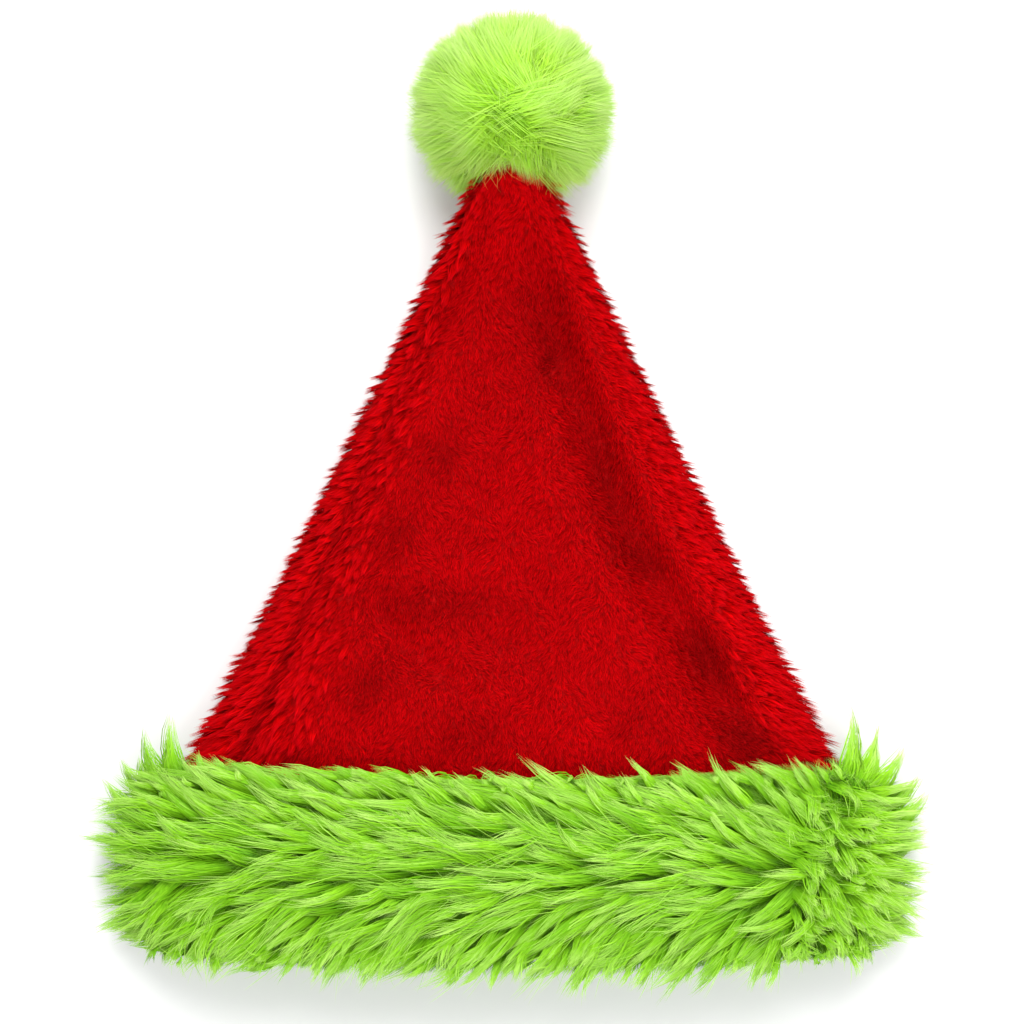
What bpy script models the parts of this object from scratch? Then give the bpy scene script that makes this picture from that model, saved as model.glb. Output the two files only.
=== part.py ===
"""A plush santa hat lying flat: a hollow crown, a deep fur band and a fur pompom.

The band's crown-side edge is at y = 0, the crown runs from there to +Y, and the
band from there to -Y. At the end the whole hat is centred over the origin.
"""

import math
import random

import bmesh
import bpy
import numpy as np

# Crown, in metres
RIM_WIDTH = 0.274  # the open edge, laid flat
CROWN_LENGTH = 0.261  # from the band's edge to the gathered tip
CROWN_LOFT = 0.041  # thickness of the lying crown beside the band
TIP_WIDTH = 0.024
TIP_LOFT = 0.016
CLOTH_WALL = 0.003
SEAM_ALLOWANCE = 0.006  # the crown's edge that is held inside the band
TIP_ROUNDING = 0.3  # length of the tip's rounded end, as a share of TIP_LOFT
TIP_SHOULDER = (0.7, 0.62)  # the ring on that end: along it, and how narrow it is
GATHER_START = 0.88  # where the pleats of the tip begin, as a share of the length
GATHER_DEPTH = 0.07  # their depth at the tip, as a share of the half width

# Band, in metres
BAND_DEPTH = 0.070
BAND_BACKING = 0.0035  # cloth and padding on each face of the crown's edge
BAND_BULGE = 0.008  # how far its sides swell beyond the rim
BAND_SWELL = 0.002  # how far its upper side swells above the rim
NAP_TOP = 0.007  # dense fur under the locks
NAP_SIDE = 0.010
NAP_UNDER = 0.004  # pressed by the surface
PRESSED_FLAT = 0.0007  # how much of each soft underside the surface flattens
LOCK_LENGTH = 0.040
LOCK_WIDTH = 0.017
LOCK_RISE = 0.008
FRINGE_RISE = 0.005  # locks of the band's underside, pressed by the surface
FRINGE_LIFT = 0.0006  # least height of a lock over the surface

# Pompom, in metres
POMPOM_DIAMETER = 0.082
POMPOM_SHORTNESS = 0.92  # the ball's size along the crown, as a share of its width
CORE_DIAMETER = 0.056
TUFT_WIDTH = 0.0175
TUFT_LEAN = 0.06  # how far the tips lean away from the parting, as a share of the radius
SEAT_SINK = 0.004  # depth of the crown's tip in the core
POMPOM_SIT = 0.93  # height of the centre, as a share of the radius: it is soft
SEAT_ELEVATION = math.radians(20)  # where the tip meets the ball
WHORL_TILT = math.radians(14)  # the fur parts here, just off the ball's top

CLEARANCE = 0.0003  # between the crown's edge and its groove in the band
POCKET_CLEARANCE = 0.0005  # between the crown's tip and its pocket in the pompom

POCKET_START = 0.6  # share of the crown's length from which the pompom is cut by it

UPPER_SIDES = 26  # facets round the upper half of a ring, and round the lower half
LOWER_SIDES = 12
CROWN_STATIONS = 18
CROWDING = 0.06  # how far the stations are drawn towards the tip
GATHER_PLEATS = 7
TUFTS = 60
SEED = 12

# Sections of the lying crown. along: share of the length. under: height of the
# underside, as a share of the band's hold. pressed: share of PRESSED_FLAT. loft:
# thickness, as a share of CROWN_LOFT. side: where the widest line lies, as a share
# of that thickness. lift: how far the section has risen and narrowed to the tip.
CROWN_COLUMNS = ("along", "under", "pressed", "loft", "side", "lift", "squareness")
CROWN_SECTIONS = (
    (0.00, 1.00, 0.00, 0.82, 0.50, 0.00, 3.6),
    (0.10, 0.20, 0.00, 0.95, 0.46, 0.00, 3.2),
    (0.22, 0.00, 1.00, 0.94, 0.42, 0.00, 2.9),
    (0.50, 0.00, 1.00, 0.82, 0.40, 0.00, 2.7),
    (0.70, 0.00, 1.00, 0.74, 0.42, 0.02, 2.6),
    (0.86, 0.00, 0.00, 0.70, 0.48, 0.36, 2.5),
    (1.00, 0.00, 0.00, 0.60, 0.50, 1.00, 2.2),
)
UNDER_SQUARENESS = 6.0

# Folds of the crown's upper face. route: rows of along and across, as shares of
# the length and of the half width. width: share of RIM_WIDTH. depth: share of
# CROWN_LOFT, below zero for a ridge.
FOLDS = (
    {
        "name": "side seam",
        "route": ((0.00, -0.88), (0.60, -0.82), (0.72, -0.80), (0.90, -0.52)),
        "width": 0.018,
        "depth": 0.10,
    },
    {
        "name": "long valley",
        "route": ((0.04, 0.77), (0.24, 0.70), (0.44, 0.57), (0.64, 0.48), (0.86, 0.42)),
        "width": 0.042,
        "depth": 0.20,
    },
    {
        "name": "rolled ridge",
        "route": ((0.02, 0.90), (0.20, 0.87), (0.42, 0.80), (0.60, 0.77), (0.86, 0.72)),
        "width": 0.034,
        "depth": -0.09,
    },
    {
        "name": "sagging middle",
        "route": ((0.14, -0.10), (0.55, -0.12), (0.88, -0.05)),
        "width": 0.105,
        "depth": 0.14,
    },
    {
        "name": "slanting dent",
        "route": ((0.28, -0.56), (0.10, -0.08)),
        "width": 0.040,
        "depth": 0.10,
    },
)
FOLD_FADE = 0.10  # share of the length over which a fold starts and ends

# Band sections from the crown's side to the mouth. depth: share of BAND_DEPTH.
# full: how much of its thickness is reached. bulge, swell: shares of the sizes.
BAND_COLUMNS = ("depth", "full", "bulge", "swell")
BAND_SECTIONS = (
    (0.00, 0.50, 0.00, 0.00),
    (0.05, 0.82, 0.20, 0.10),
    (0.16, 1.00, 0.55, 0.40),
    (0.36, 1.00, 0.90, 0.80),
    (0.58, 1.00, 1.00, 1.00),
    (0.80, 1.00, 0.85, 0.90),
    (0.94, 0.84, 0.62, 0.60),
    (1.00, 0.50, 0.50, 0.50),
)

# Rows of locks on the band's upper side. depth: share of BAND_DEPTH at the roots.
# heading: where the tips point, in degrees from +X towards +Y. length: share.
LOCK_COLUMNS = ("depth", "count", "heading", "length")
LOCK_ROWS = (
    (0.22, 13, 142, 0.90),
    (0.42, 13, 165, 1.00),
    (0.60, 13, 194, 1.00),
    (0.77, 13, 220, 0.84),
)
LOCK_ROW_REACH = (-0.97, 0.80)  # first and last root, as shares of the rim's half width
LEFT_FAN_START = 0.6  # the rows fan out left of here, as a share of the half width
LEFT_FAN = math.radians(24)
HEADING_SPREAD = math.radians(9)  # how far single locks stray from their row
ROOT_SPREAD = (0.025, 0.04)  # the same for their roots, as shares of half width and depth
WHORL = (0.93, 0.50)  # the parting at the right end: across and depth, as shares
WHORL_HEADINGS = (-98, -66, -34, -4, 28, 60, 92)
WHORL_START = (0.2, 0.3)  # how far from the parting they start, as shares of LOCK_LENGTH
WHORL_LENGTH = {"sideways": 0.62, "more_along": 0.26}  # their length, as shares of LOCK_LENGTH
LENGTH_SPREAD = (0.86, 1.08)  # the shortest and longest lock of a row
WIDTH_SPREAD = (0.85, 1.15)
NAP_EDGE = 0.97  # share of the half width up to which the nap follows the band's top
NAP_FALL = 0.5  # slope of the fur past that edge
SLOPE_STEP = 0.002  # distance over which the nap's slope is measured, in metres
SIDE_LOCK_DEPTHS = (0.14, 0.38, 0.62, 0.86)
SIDE_LOCK_TURN = math.radians(26)
SIDE_LOCK_DROP = (math.radians(14), math.radians(24))
FRINGE_COUNT = 12
FRINGE_REACH = 0.92  # first and last root, as a share of the rim's half width
FRINGE_DEPTH = 0.84  # where its roots lie, as a share of BAND_DEPTH
FRINGE_TURN = math.radians(22)
SHORT_LOCK = 0.55  # length of the side and fringe locks, as a share of LOCK_LENGTH

# Rings of a lock. along: share of the length. width, rise: shares of the sizes.
# lift: height of the middle above the nap, as a share of the rise.
LOCK_RINGS = (
    (0.00, 0.55, 0.45, -0.40),
    (0.32, 1.00, 0.60, 0.15),
    (0.74, 0.62, 0.36, 0.50),
)
LOCK_TIP_LIFT = 0.55

# Rings of a pompom's tuft. reach: share of the way from the core's centre, or from
# its skin to the ball's. width: share of TUFT_WIDTH. bend: share of the tip's lean.
TUFT_SIDES = 5
TUFT_ROOT = {"reach": 0.72, "width": 1.00, "bend": 0.0}
TUFT_MIDDLE = {"reach": 0.45, "width": 0.86, "bend": 0.4}

RED_PLUSH = (0.62, 0.004, 0.012, 1.0)
GREEN_FUR = (0.30, 0.66, 0.05, 1.0)


def clear_scene():
    for item in list(bpy.data.objects):
        bpy.data.objects.remove(item, do_unlink=True)


def material(name, colour, roughness):
    made = bpy.data.materials.new(name)
    made.use_nodes = True
    shader = made.node_tree.nodes["Principled BSDF"]
    shader.inputs["Base Color"].default_value = colour
    shader.inputs["Roughness"].default_value = roughness
    shader.inputs["Metallic"].default_value = 0.0
    return made


def smooth_row(table, columns, place):
    """Every column of a table at a place along its first column, with no kinks between rows."""
    rows = np.array(table, float)
    stops = rows[:, 0]
    slopes = np.gradient(rows, stops, axis=0)
    i = int(np.clip(np.searchsorted(stops, place) - 1, 0, len(stops) - 2))
    span = stops[i + 1] - stops[i]
    t = min(max((place - stops[i]) / span, 0.0), 1.0)
    values = (
        (2 * t**3 - 3 * t**2 + 1) * rows[i]
        + (t**3 - 2 * t**2 + t) * span * slopes[i]
        + (3 * t**2 - 2 * t**3) * rows[i + 1]
        + (t**3 - t**2) * span * slopes[i + 1]
    )
    return dict(zip(columns, values))


def fade(value, start, end):
    t = np.clip((value - start) / (end - start), 0.0, 1.0)
    return t * t * (3 - 2 * t)


def ring_angles():
    """Angles round a ring from straight up, with more points on its upper half."""
    upper = np.arange(UPPER_SIDES) / UPPER_SIDES - 0.5
    lower = np.arange(LOWER_SIDES) / LOWER_SIDES + 0.5
    return math.pi * np.concatenate((upper, lower))


def oval(half_width, under, side, top, squareness):
    """Points round a flattened section, as x and z, with the underside nearly flat."""
    angle = ring_angles()
    across = np.sin(angle)
    upper = np.cos(angle) > 0
    power = np.where(upper, squareness, UNDER_SQUARENESS)
    reach = np.sqrt(np.clip(1 - np.abs(across) ** power, 0.0, 1.0))
    z = side + np.where(upper, (top - side) * reach, -(side - under) * reach)
    return half_width * across, z, angle


def band_hold():
    """Height at which the band holds the crown's underside."""
    return BAND_BACKING + NAP_UNDER


def pompom_centre():
    seat = CORE_DIAMETER / 2 - SEAT_SINK
    return np.array(
        (
            0.0,
            CROWN_LENGTH + seat * math.cos(SEAT_ELEVATION),
            POMPOM_SIT * POMPOM_DIAMETER / 2,
        )
    )


def tip_height():
    seat = CORE_DIAMETER / 2 - SEAT_SINK
    return float(pompom_centre()[2] + seat * math.sin(SEAT_ELEVATION))


def fold_drop(along, across):
    """How far the crown's upper face is pressed down at a share of its length and half width."""
    half_width = crown_half_width(along)
    drop = np.zeros_like(across)
    for fold in FOLDS:
        route = np.array(sorted(fold["route"]))
        centre = np.interp(along, route[:, 0], route[:, 1])
        first, last = route[0, 0], route[-1, 0]
        start = fade(along, first, first + FOLD_FADE)
        end = 1 - fade(along, last - FOLD_FADE, last + FOLD_FADE)
        away = (across - centre) * half_width / (fold["width"] * RIM_WIDTH)
        drop += start * end * fold["depth"] * CROWN_LOFT * np.exp(-away * away)
    return drop * np.sqrt(np.clip(1 - across**4, 0.0, 1.0))


def crown_half_width(along):
    return (RIM_WIDTH + (TIP_WIDTH - RIM_WIDTH) * min(max(along, 0.0), 1.0)) / 2


def crown_section(along):
    """Half width, underside, widest line and top of the crown at a share of its length."""
    row = smooth_row(CROWN_SECTIONS, CROWN_COLUMNS, min(max(along, 0.0), 1.0))
    lift = min(max(row["lift"], 0.0), 1.0)
    loft = row["loft"] * CROWN_LOFT * (1 - lift) + TIP_LOFT * lift
    under = row["under"] * band_hold() - row["pressed"] * PRESSED_FLAT
    under += lift * (tip_height() - TIP_LOFT / 2)
    return crown_half_width(along), under, under + row["side"] * loft, under + loft, row["squareness"]


def crown_ring(along, y, grow=0.0, narrow=1.0):
    """One ring of the crown's skin, grown outwards by a distance, or inwards when it is negative."""
    half_width, under, side, top, squareness = crown_section(along)
    x, z, angle = oval(half_width + grow, under - grow, side, top + grow, squareness)
    across = x / (half_width + grow)
    upper = np.cos(angle) > 0
    z = z - np.where(upper, fold_drop(along, across), 0.0)
    if grow <= 0:
        z = np.maximum(z, -grow)
    pleat = 1 + GATHER_DEPTH * fade(along, GATHER_START, 1.0) * np.cos(GATHER_PLEATS * angle)
    middle = (under + top) / 2
    x = x * pleat * narrow
    z = middle + (z - middle) * pleat * narrow
    return np.column_stack((x, np.full(len(x), y), z))


def crown_shares():
    """Shares of the length at which the crown has rings, closer together towards the tip."""
    even = np.linspace(0.0, 1.0, CROWN_STATIONS)
    return even + CROWDING * np.sin(math.pi * even)


def crown_skin(grow, first=0.0):
    """Rings of the crown's skin from a share of its length to the tip, and the closing point."""
    rounding = TIP_LOFT * TIP_ROUNDING
    length = CROWN_LENGTH - rounding
    shoulder, narrow = TIP_SHOULDER
    shares = [share for share in crown_shares() if share >= first]
    rings = [crown_ring(share, share * length, grow) for share in shares]
    end = rounding + grow
    rings.append(crown_ring(1.0, length + shoulder * end, grow, narrow))
    apex = np.array((0.0, length + end, tip_height()))
    return rings, apex


def add_strip(faces, first, second):
    """Two triangles for each side between two rings of vertex numbers."""
    count = len(first)
    for i in range(count):
        j = (i + 1) % count
        faces.append((first[i], first[j], second[j]))
        faces.append((first[i], second[j], second[i]))


def add_fan(faces, ring, apex):
    for i in range(len(ring)):
        faces.append((ring[i], ring[(i + 1) % len(ring)], apex))


class Skin:
    """Vertices and triangles gathered into one mesh."""

    def __init__(self):
        self.points = []
        self.faces = []

    def ring(self, points):
        start = len(self.points)
        self.points.extend(tuple(point) for point in points)
        return list(range(start, start + len(points)))

    def point(self, point):
        return self.ring([point])[0]

    def strip(self, first, second):
        add_strip(self.faces, first, second)

    def fan(self, ring, apex):
        add_fan(self.faces, ring, apex)

    def to_object(self, name, surface=None):
        mesh = bpy.data.meshes.new(name)
        mesh.from_pydata(self.points, [], self.faces)
        work = bmesh.new()
        work.from_mesh(mesh)
        bmesh.ops.recalc_face_normals(work, faces=work.faces)
        work.to_mesh(mesh)
        work.free()
        made = bpy.data.objects.new(name, mesh)
        bpy.context.scene.collection.objects.link(made)
        if surface:
            mesh.materials.append(surface)
            mesh.shade_smooth()
            mesh.set_sharp_from_angle(angle=math.radians(50))
        return made


def make_guide(made):
    made.hide_render = True
    made.display_type = "WIRE"
    return made


def add_boolean(target, operand, operation, overlapping=False):
    cut = target.modifiers.new(operation.lower(), "BOOLEAN")
    cut.operation = operation
    cut.solver = "EXACT"
    cut.use_self = overlapping
    cut.object = operand


def build_crown(surface):
    """The hollow cone: an outer and an inner skin, joined round the open edge."""
    skin = Skin()
    outer, outer_apex = crown_skin(0.0)
    inner, inner_apex = crown_skin(-CLOTH_WALL)
    outer.insert(0, crown_ring(0.0, -SEAM_ALLOWANCE))
    inner.insert(0, crown_ring(0.0, -SEAM_ALLOWANCE, -CLOTH_WALL))
    outer_rings = [skin.ring(ring) for ring in outer]
    inner_rings = [skin.ring(ring) for ring in inner]
    for rings in (outer_rings, inner_rings):
        for first, second in zip(rings, rings[1:]):
            skin.strip(first, second)
    skin.fan(outer_rings[-1], skin.point(outer_apex))
    skin.fan(inner_rings[-1], skin.point(inner_apex))
    skin.strip(outer_rings[0], inner_rings[0])
    return skin.to_object("crown", surface)


def crown_pocket():
    """The outside of the crown's tip with its clearance, closed at both ends."""
    skin = Skin()
    points, apex = crown_skin(POCKET_CLEARANCE, POCKET_START)
    rings = [skin.ring(ring) for ring in points]
    for start, end in zip(rings, rings[1:]):
        skin.strip(start, end)
    skin.fan(rings[-1], skin.point(apex))
    skin.fan(rings[0], skin.point(points[0].mean(axis=0)))
    return make_guide(skin.to_object("crown_pocket"))


def band_section(depth):
    return smooth_row(BAND_SECTIONS, BAND_COLUMNS, min(max(depth, 0.0), 1.0))


def band_outline(depth, full):
    """Half width, underside, widest line and top of the band's fur at a share of its depth."""
    half_width, under, side, top, squareness = crown_section(0.0)
    row = band_section(depth)
    out_side = CLEARANCE + full * (NAP_SIDE + BAND_BACKING) + row["bulge"] * BAND_BULGE
    out_top = CLEARANCE + full * (NAP_TOP + BAND_BACKING) + row["swell"] * BAND_SWELL
    out_under = full * (band_hold() + PRESSED_FLAT)
    return half_width + out_side, under - out_under, side, top + out_top, squareness


def band_hollow(depth, full):
    """The same for the band's inner face."""
    half_width, under, side, top, squareness = crown_section(0.0)
    row = band_section(depth)
    inwards = CLOTH_WALL + CLEARANCE + full * BAND_BACKING
    bulge = row["bulge"] * BAND_BULGE
    swell = row["swell"] * BAND_SWELL
    return half_width - inwards + bulge, under + inwards, side, top - inwards + swell, squareness


def band_ring(outline, y):
    half_width, under, side, top, squareness = outline
    x, z, angle = oval(half_width, under, side, top, squareness)
    return np.column_stack((x, np.full(len(x), y), np.maximum(z, 0.0)))


def band_backing(surface):
    """The padded ring, with a groove in its upper edge for the crown's edge."""
    skin = Skin()
    rows = [dict(zip(BAND_COLUMNS, row)) for row in BAND_SECTIONS]
    profile = []
    for row in rows:
        profile.append(band_ring(band_outline(row["depth"], row["full"]), -row["depth"] * BAND_DEPTH))
    for row in reversed(rows):
        profile.append(band_ring(band_hollow(row["depth"], row["full"]), -row["depth"] * BAND_DEPTH))
    groove_bottom = -SEAM_ALLOWANCE - CLEARANCE
    profile.append(crown_ring(0.0, 0.0, -CLOTH_WALL - CLEARANCE))
    profile.append(crown_ring(0.0, groove_bottom, -CLOTH_WALL - CLEARANCE))
    profile.append(crown_ring(0.0, groove_bottom, CLEARANCE))
    profile.append(crown_ring(0.0, 0.0, CLEARANCE))
    rings = [skin.ring(ring) for ring in profile]
    for first, second in zip(rings, rings[1:] + rings[:1]):
        skin.strip(first, second)
    return skin.to_object("fur_band", surface)


def nap_height(x, y):
    """Height of the band's upper fur under the locks, carried on past its edges."""
    depth = -y / BAND_DEPTH
    half_width, under, side, top, squareness = band_outline(depth, 1.0)
    share = min(abs(x) / half_width, NAP_EDGE)
    height = side + (top - side) * math.sqrt(1 - share**squareness)
    beyond_side = max(abs(x) - NAP_EDGE * half_width, 0.0)
    beyond_edge = max(y, -y - BAND_DEPTH, 0.0)
    return height - NAP_FALL * beyond_side - beyond_edge**2 / (2 * BAND_DEPTH)


def lock_stops():
    """Shares of a lock's length at its rings and at its tip."""
    return [row[0] for row in LOCK_RINGS] + [1.0]


def add_lock(skin, route, normal_at, width, rise, least_height):
    """One tapered lock of fur along a route of four points, from its root to its tip."""
    rings = []
    for (along, wide, thick, lift), place in zip(LOCK_RINGS, route):
        normal = normal_at(place)
        ahead = route[-1] - route[0]
        sideways = np.cross(ahead, normal)
        sideways /= np.linalg.norm(sideways)
        middle = place + normal * lift * rise
        corners = [
            middle + sideways * wide * width / 2,
            middle + normal * thick * rise,
            middle - sideways * wide * width / 2,
            middle - normal * thick * rise,
        ]
        for corner in corners:
            corner[2] = max(corner[2], least_height)
        rings.append(skin.ring(corners))
    tip = route[-1] + normal_at(route[-1]) * LOCK_TIP_LIFT * rise
    tip[2] = max(tip[2], least_height)
    skin.fan(rings[0], skin.point(np.mean([skin.points[i] for i in rings[0]], axis=0)))
    for first, second in zip(rings, rings[1:]):
        skin.strip(first, second)
    skin.fan(rings[-1], skin.point(tip))


def upper_normal(place):
    """Direction out of the band's upper fur."""
    x, y = place[0], place[1]
    step = SLOPE_STEP
    slope_x = (nap_height(x + step, y) - nap_height(x - step, y)) / (2 * step)
    slope_y = (nap_height(x, y + step) - nap_height(x, y - step)) / (2 * step)
    normal = np.array((-slope_x, -slope_y, 1.0))
    return normal / np.linalg.norm(normal)


def upper_route(x, y, heading, length):
    route = []
    for share in lock_stops():
        px = x + share * length * math.cos(heading)
        py = y + share * length * math.sin(heading)
        route.append(np.array((px, py, nap_height(px, py))))
    return route


def band_upper_locks(skin, chance):
    half_width = RIM_WIDTH / 2
    for values in LOCK_ROWS:
        row = dict(zip(LOCK_COLUMNS, values))
        places = np.linspace(LOCK_ROW_REACH[0], LOCK_ROW_REACH[1], row["count"])
        for across in places:
            fan = LEFT_FAN * max(-across - LEFT_FAN_START, 0.0) / (1 - LEFT_FAN_START)
            fan = fan if row["heading"] > 180 else -fan
            heading = math.radians(row["heading"]) + fan + chance.uniform(-1, 1) * HEADING_SPREAD
            x = (across + chance.uniform(-1, 1) * ROOT_SPREAD[0]) * half_width
            y = -(row["depth"] + chance.uniform(-1, 1) * ROOT_SPREAD[1]) * BAND_DEPTH
            length = row["length"] * LOCK_LENGTH * chance.uniform(*LENGTH_SPREAD)
            width = LOCK_WIDTH * chance.uniform(*WIDTH_SPREAD)
            add_lock(skin, upper_route(x, y, heading, length), upper_normal, width, LOCK_RISE, FRINGE_LIFT)


def band_whorl_locks(skin, chance):
    """Locks that fan out from the parting near the right end."""
    for degrees in WHORL_HEADINGS:
        heading = math.radians(degrees)
        x = WHORL[0] * RIM_WIDTH / 2 + WHORL_START[0] * LOCK_LENGTH * math.cos(heading)
        y = -WHORL[1] * BAND_DEPTH + WHORL_START[1] * LOCK_LENGTH * math.sin(heading)
        share = WHORL_LENGTH["sideways"] + WHORL_LENGTH["more_along"] * abs(math.sin(heading))
        length = share * LOCK_LENGTH
        width = LOCK_WIDTH * chance.uniform(0.9, 1.15)
        add_lock(skin, upper_route(x, y, heading, length), upper_normal, width, LOCK_RISE, FRINGE_LIFT)


def band_side_locks(skin, chance):
    """Short locks round the band's two folded ends, between its upper and lower sides."""
    side = crown_section(0.0)[2]
    for end in (-1, 1):
        for depth in SIDE_LOCK_DEPTHS:
            half_width = band_outline(depth, 1.0)[0]
            turn = SIDE_LOCK_TURN * (1 - 2 * depth)
            drop = chance.uniform(*SIDE_LOCK_DROP)
            ahead = np.array((end * math.cos(turn) * math.cos(drop), math.sin(turn), -math.sin(drop)))
            start = np.array((end * (half_width - LOCK_RISE), -depth * BAND_DEPTH, side))
            route = [start + ahead * share * SHORT_LOCK * LOCK_LENGTH for share in lock_stops()]
            upwards = np.array((end * math.sin(drop), 0.0, math.cos(drop)))
            add_lock(skin, route, lambda place: upwards, LOCK_WIDTH, LOCK_RISE, FRINGE_LIFT)


def band_fringe_locks(skin, chance):
    """Flattened locks along the underside, reaching out past the mouth."""
    upwards = np.array((0.0, 0.0, 1.0))
    for across in np.linspace(-FRINGE_REACH, FRINGE_REACH, FRINGE_COUNT):
        heading = FRINGE_TURN * across + chance.uniform(-1, 1) * HEADING_SPREAD - math.pi / 2
        start = np.array((across * RIM_WIDTH / 2, -FRINGE_DEPTH * BAND_DEPTH, 0.7 * FRINGE_RISE))
        ahead = np.array((math.cos(heading), math.sin(heading), 0.0))
        length = SHORT_LOCK * LOCK_LENGTH * chance.uniform(0.9, 1.1)
        route = [start + ahead * share * length for share in lock_stops()]
        add_lock(skin, route, lambda place: upwards, LOCK_WIDTH, FRINGE_RISE, FRINGE_LIFT)


def build_band(surface):
    chance = random.Random(SEED)
    band = band_backing(surface)
    locks = Skin()
    band_upper_locks(locks, chance)
    band_whorl_locks(locks, chance)
    band_side_locks(locks, chance)
    band_fringe_locks(locks, chance)
    lock_guide = make_guide(locks.to_object("band_locks"))
    add_boolean(band, lock_guide, "UNION", overlapping=True)
    return band, [lock_guide]


def spread_directions(count):
    """Directions spread evenly over a ball, along a spiral."""
    turn = math.pi * (3 - math.sqrt(5))
    for i in range(count):
        height = 1 - 2 * (i + 0.5) / count
        radius = math.sqrt(1 - height * height)
        yield np.array((radius * math.cos(i * turn), radius * math.sin(i * turn), height))


def add_tuft(skin, centre, direction, lean, reach, width):
    """A tuft from inside the core to a point at the ball's outside."""
    side = np.cross(direction, (0.31, 0.23, 0.92))
    side /= np.linalg.norm(side)
    up = np.cross(direction, side)
    core = CORE_DIAMETER / 2
    distances = (TUFT_ROOT["reach"] * core, core + TUFT_MIDDLE["reach"] * (reach - core))
    rings = []
    for distance, row in zip(distances, (TUFT_ROOT, TUFT_MIDDLE)):
        middle = centre + direction * distance + lean * row["bend"]
        points = []
        for k in range(TUFT_SIDES):
            angle = k * 2 * math.pi / TUFT_SIDES
            outwards = math.cos(angle) * side + math.sin(angle) * up
            points.append(middle + width / 2 * row["width"] * outwards)
        rings.append(skin.ring(points))
    skin.fan(rings[0], skin.point(np.mean([skin.points[i] for i in rings[0]], axis=0)))
    skin.strip(rings[0], rings[1])
    tip = (direction * reach + lean) * (1.0, POMPOM_SHORTNESS, 1.0)
    skin.fan(rings[1], skin.point(centre + tip))


def pompom_tufts():
    chance = random.Random(SEED + 1)
    centre = pompom_centre()
    seat = np.array((0.0, -math.cos(SEAT_ELEVATION), math.sin(SEAT_ELEVATION)))
    whorl = np.array((0.0, -math.sin(WHORL_TILT), math.cos(WHORL_TILT)))
    radius = POMPOM_DIAMETER / 2
    clear_of_tip = math.cos(math.atan2(TIP_WIDTH, CORE_DIAMETER / 2))
    skin = Skin()
    for direction in spread_directions(TUFTS):
        if direction @ seat > clear_of_tip:
            continue
        away = direction - whorl * (direction @ whorl)
        lean = away / max(np.linalg.norm(away), 1e-6) * TUFT_LEAN * radius
        reach = radius * chance.uniform(0.95, 1.0)
        width = TUFT_WIDTH * chance.uniform(0.9, 1.1)
        add_tuft(skin, centre, direction, lean, reach, width)
    return skin


def floor_block():
    """A block under the surface, which flattens the ball where it rests."""
    size = 2 * POMPOM_DIAMETER
    mesh = bpy.data.meshes.new("surface_below")
    work = bmesh.new()
    bmesh.ops.create_cube(work, size=size)
    work.to_mesh(mesh)
    work.free()
    made = bpy.data.objects.new("surface_below", mesh)
    bpy.context.scene.collection.objects.link(made)
    made.location = (0.0, pompom_centre()[1], -size / 2)
    return make_guide(made)


def build_pompom(surface):
    mesh = bpy.data.meshes.new("pompom")
    work = bmesh.new()
    bmesh.ops.create_icosphere(work, subdivisions=2, radius=CORE_DIAMETER / 2)
    bmesh.ops.translate(work, verts=work.verts, vec=pompom_centre())
    work.to_mesh(mesh)
    work.free()
    pompom = bpy.data.objects.new("pompom", mesh)
    bpy.context.scene.collection.objects.link(pompom)
    mesh.materials.append(surface)
    guides = [make_guide(pompom_tufts().to_object("pompom_tufts")), crown_pocket(), floor_block()]
    add_boolean(pompom, guides[0], "UNION", overlapping=True)
    add_boolean(pompom, guides[1], "DIFFERENCE")
    add_boolean(pompom, guides[2], "DIFFERENCE")
    return pompom, guides


def extent(pieces):
    """Lowest and highest corner of the finished pieces."""
    bpy.context.view_layer.update()
    graph = bpy.context.evaluated_depsgraph_get()
    corners = []
    for piece in pieces:
        mesh = piece.evaluated_get(graph).to_mesh()
        found = np.empty(len(mesh.vertices) * 3, np.float32)
        mesh.vertices.foreach_get("co", found)
        found = found.reshape(-1, 3)
        corners += [found.min(axis=0), found.max(axis=0)]
        piece.evaluated_get(graph).to_mesh_clear()
    corners = np.array(corners, float)
    return corners.min(axis=0), corners.max(axis=0)


def build_hat():
    clear_scene()
    plush = material("red_plush", RED_PLUSH, 0.85)
    fur = material("green_fur", GREEN_FUR, 0.80)
    crown = build_crown(plush)
    band, band_guides = build_band(fur)
    pompom, pompom_guides = build_pompom(fur)
    low, high = extent([crown, band, pompom])
    centre = bpy.data.objects.new("hat", None)
    bpy.context.scene.collection.objects.link(centre)
    for piece in [crown, band, pompom] + band_guides + pompom_guides:
        piece.parent = centre
    centre.location = (-(low[0] + high[0]) / 2, -(low[1] + high[1]) / 2, -low[2])


build_hat()
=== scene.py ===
"""The looks of a plush santa hat lying flat: pile on its crown, long fur on its band and pompom.

The cloth and the padding under the fur follow the same formulas as the solids, so each
piece lies in the space of its solid. The fur is made of meshes of thin tapered hairs.
Formulas work in the design frame, whose y = 0 is the band's edge towards the crown.
"""

import math

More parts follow.
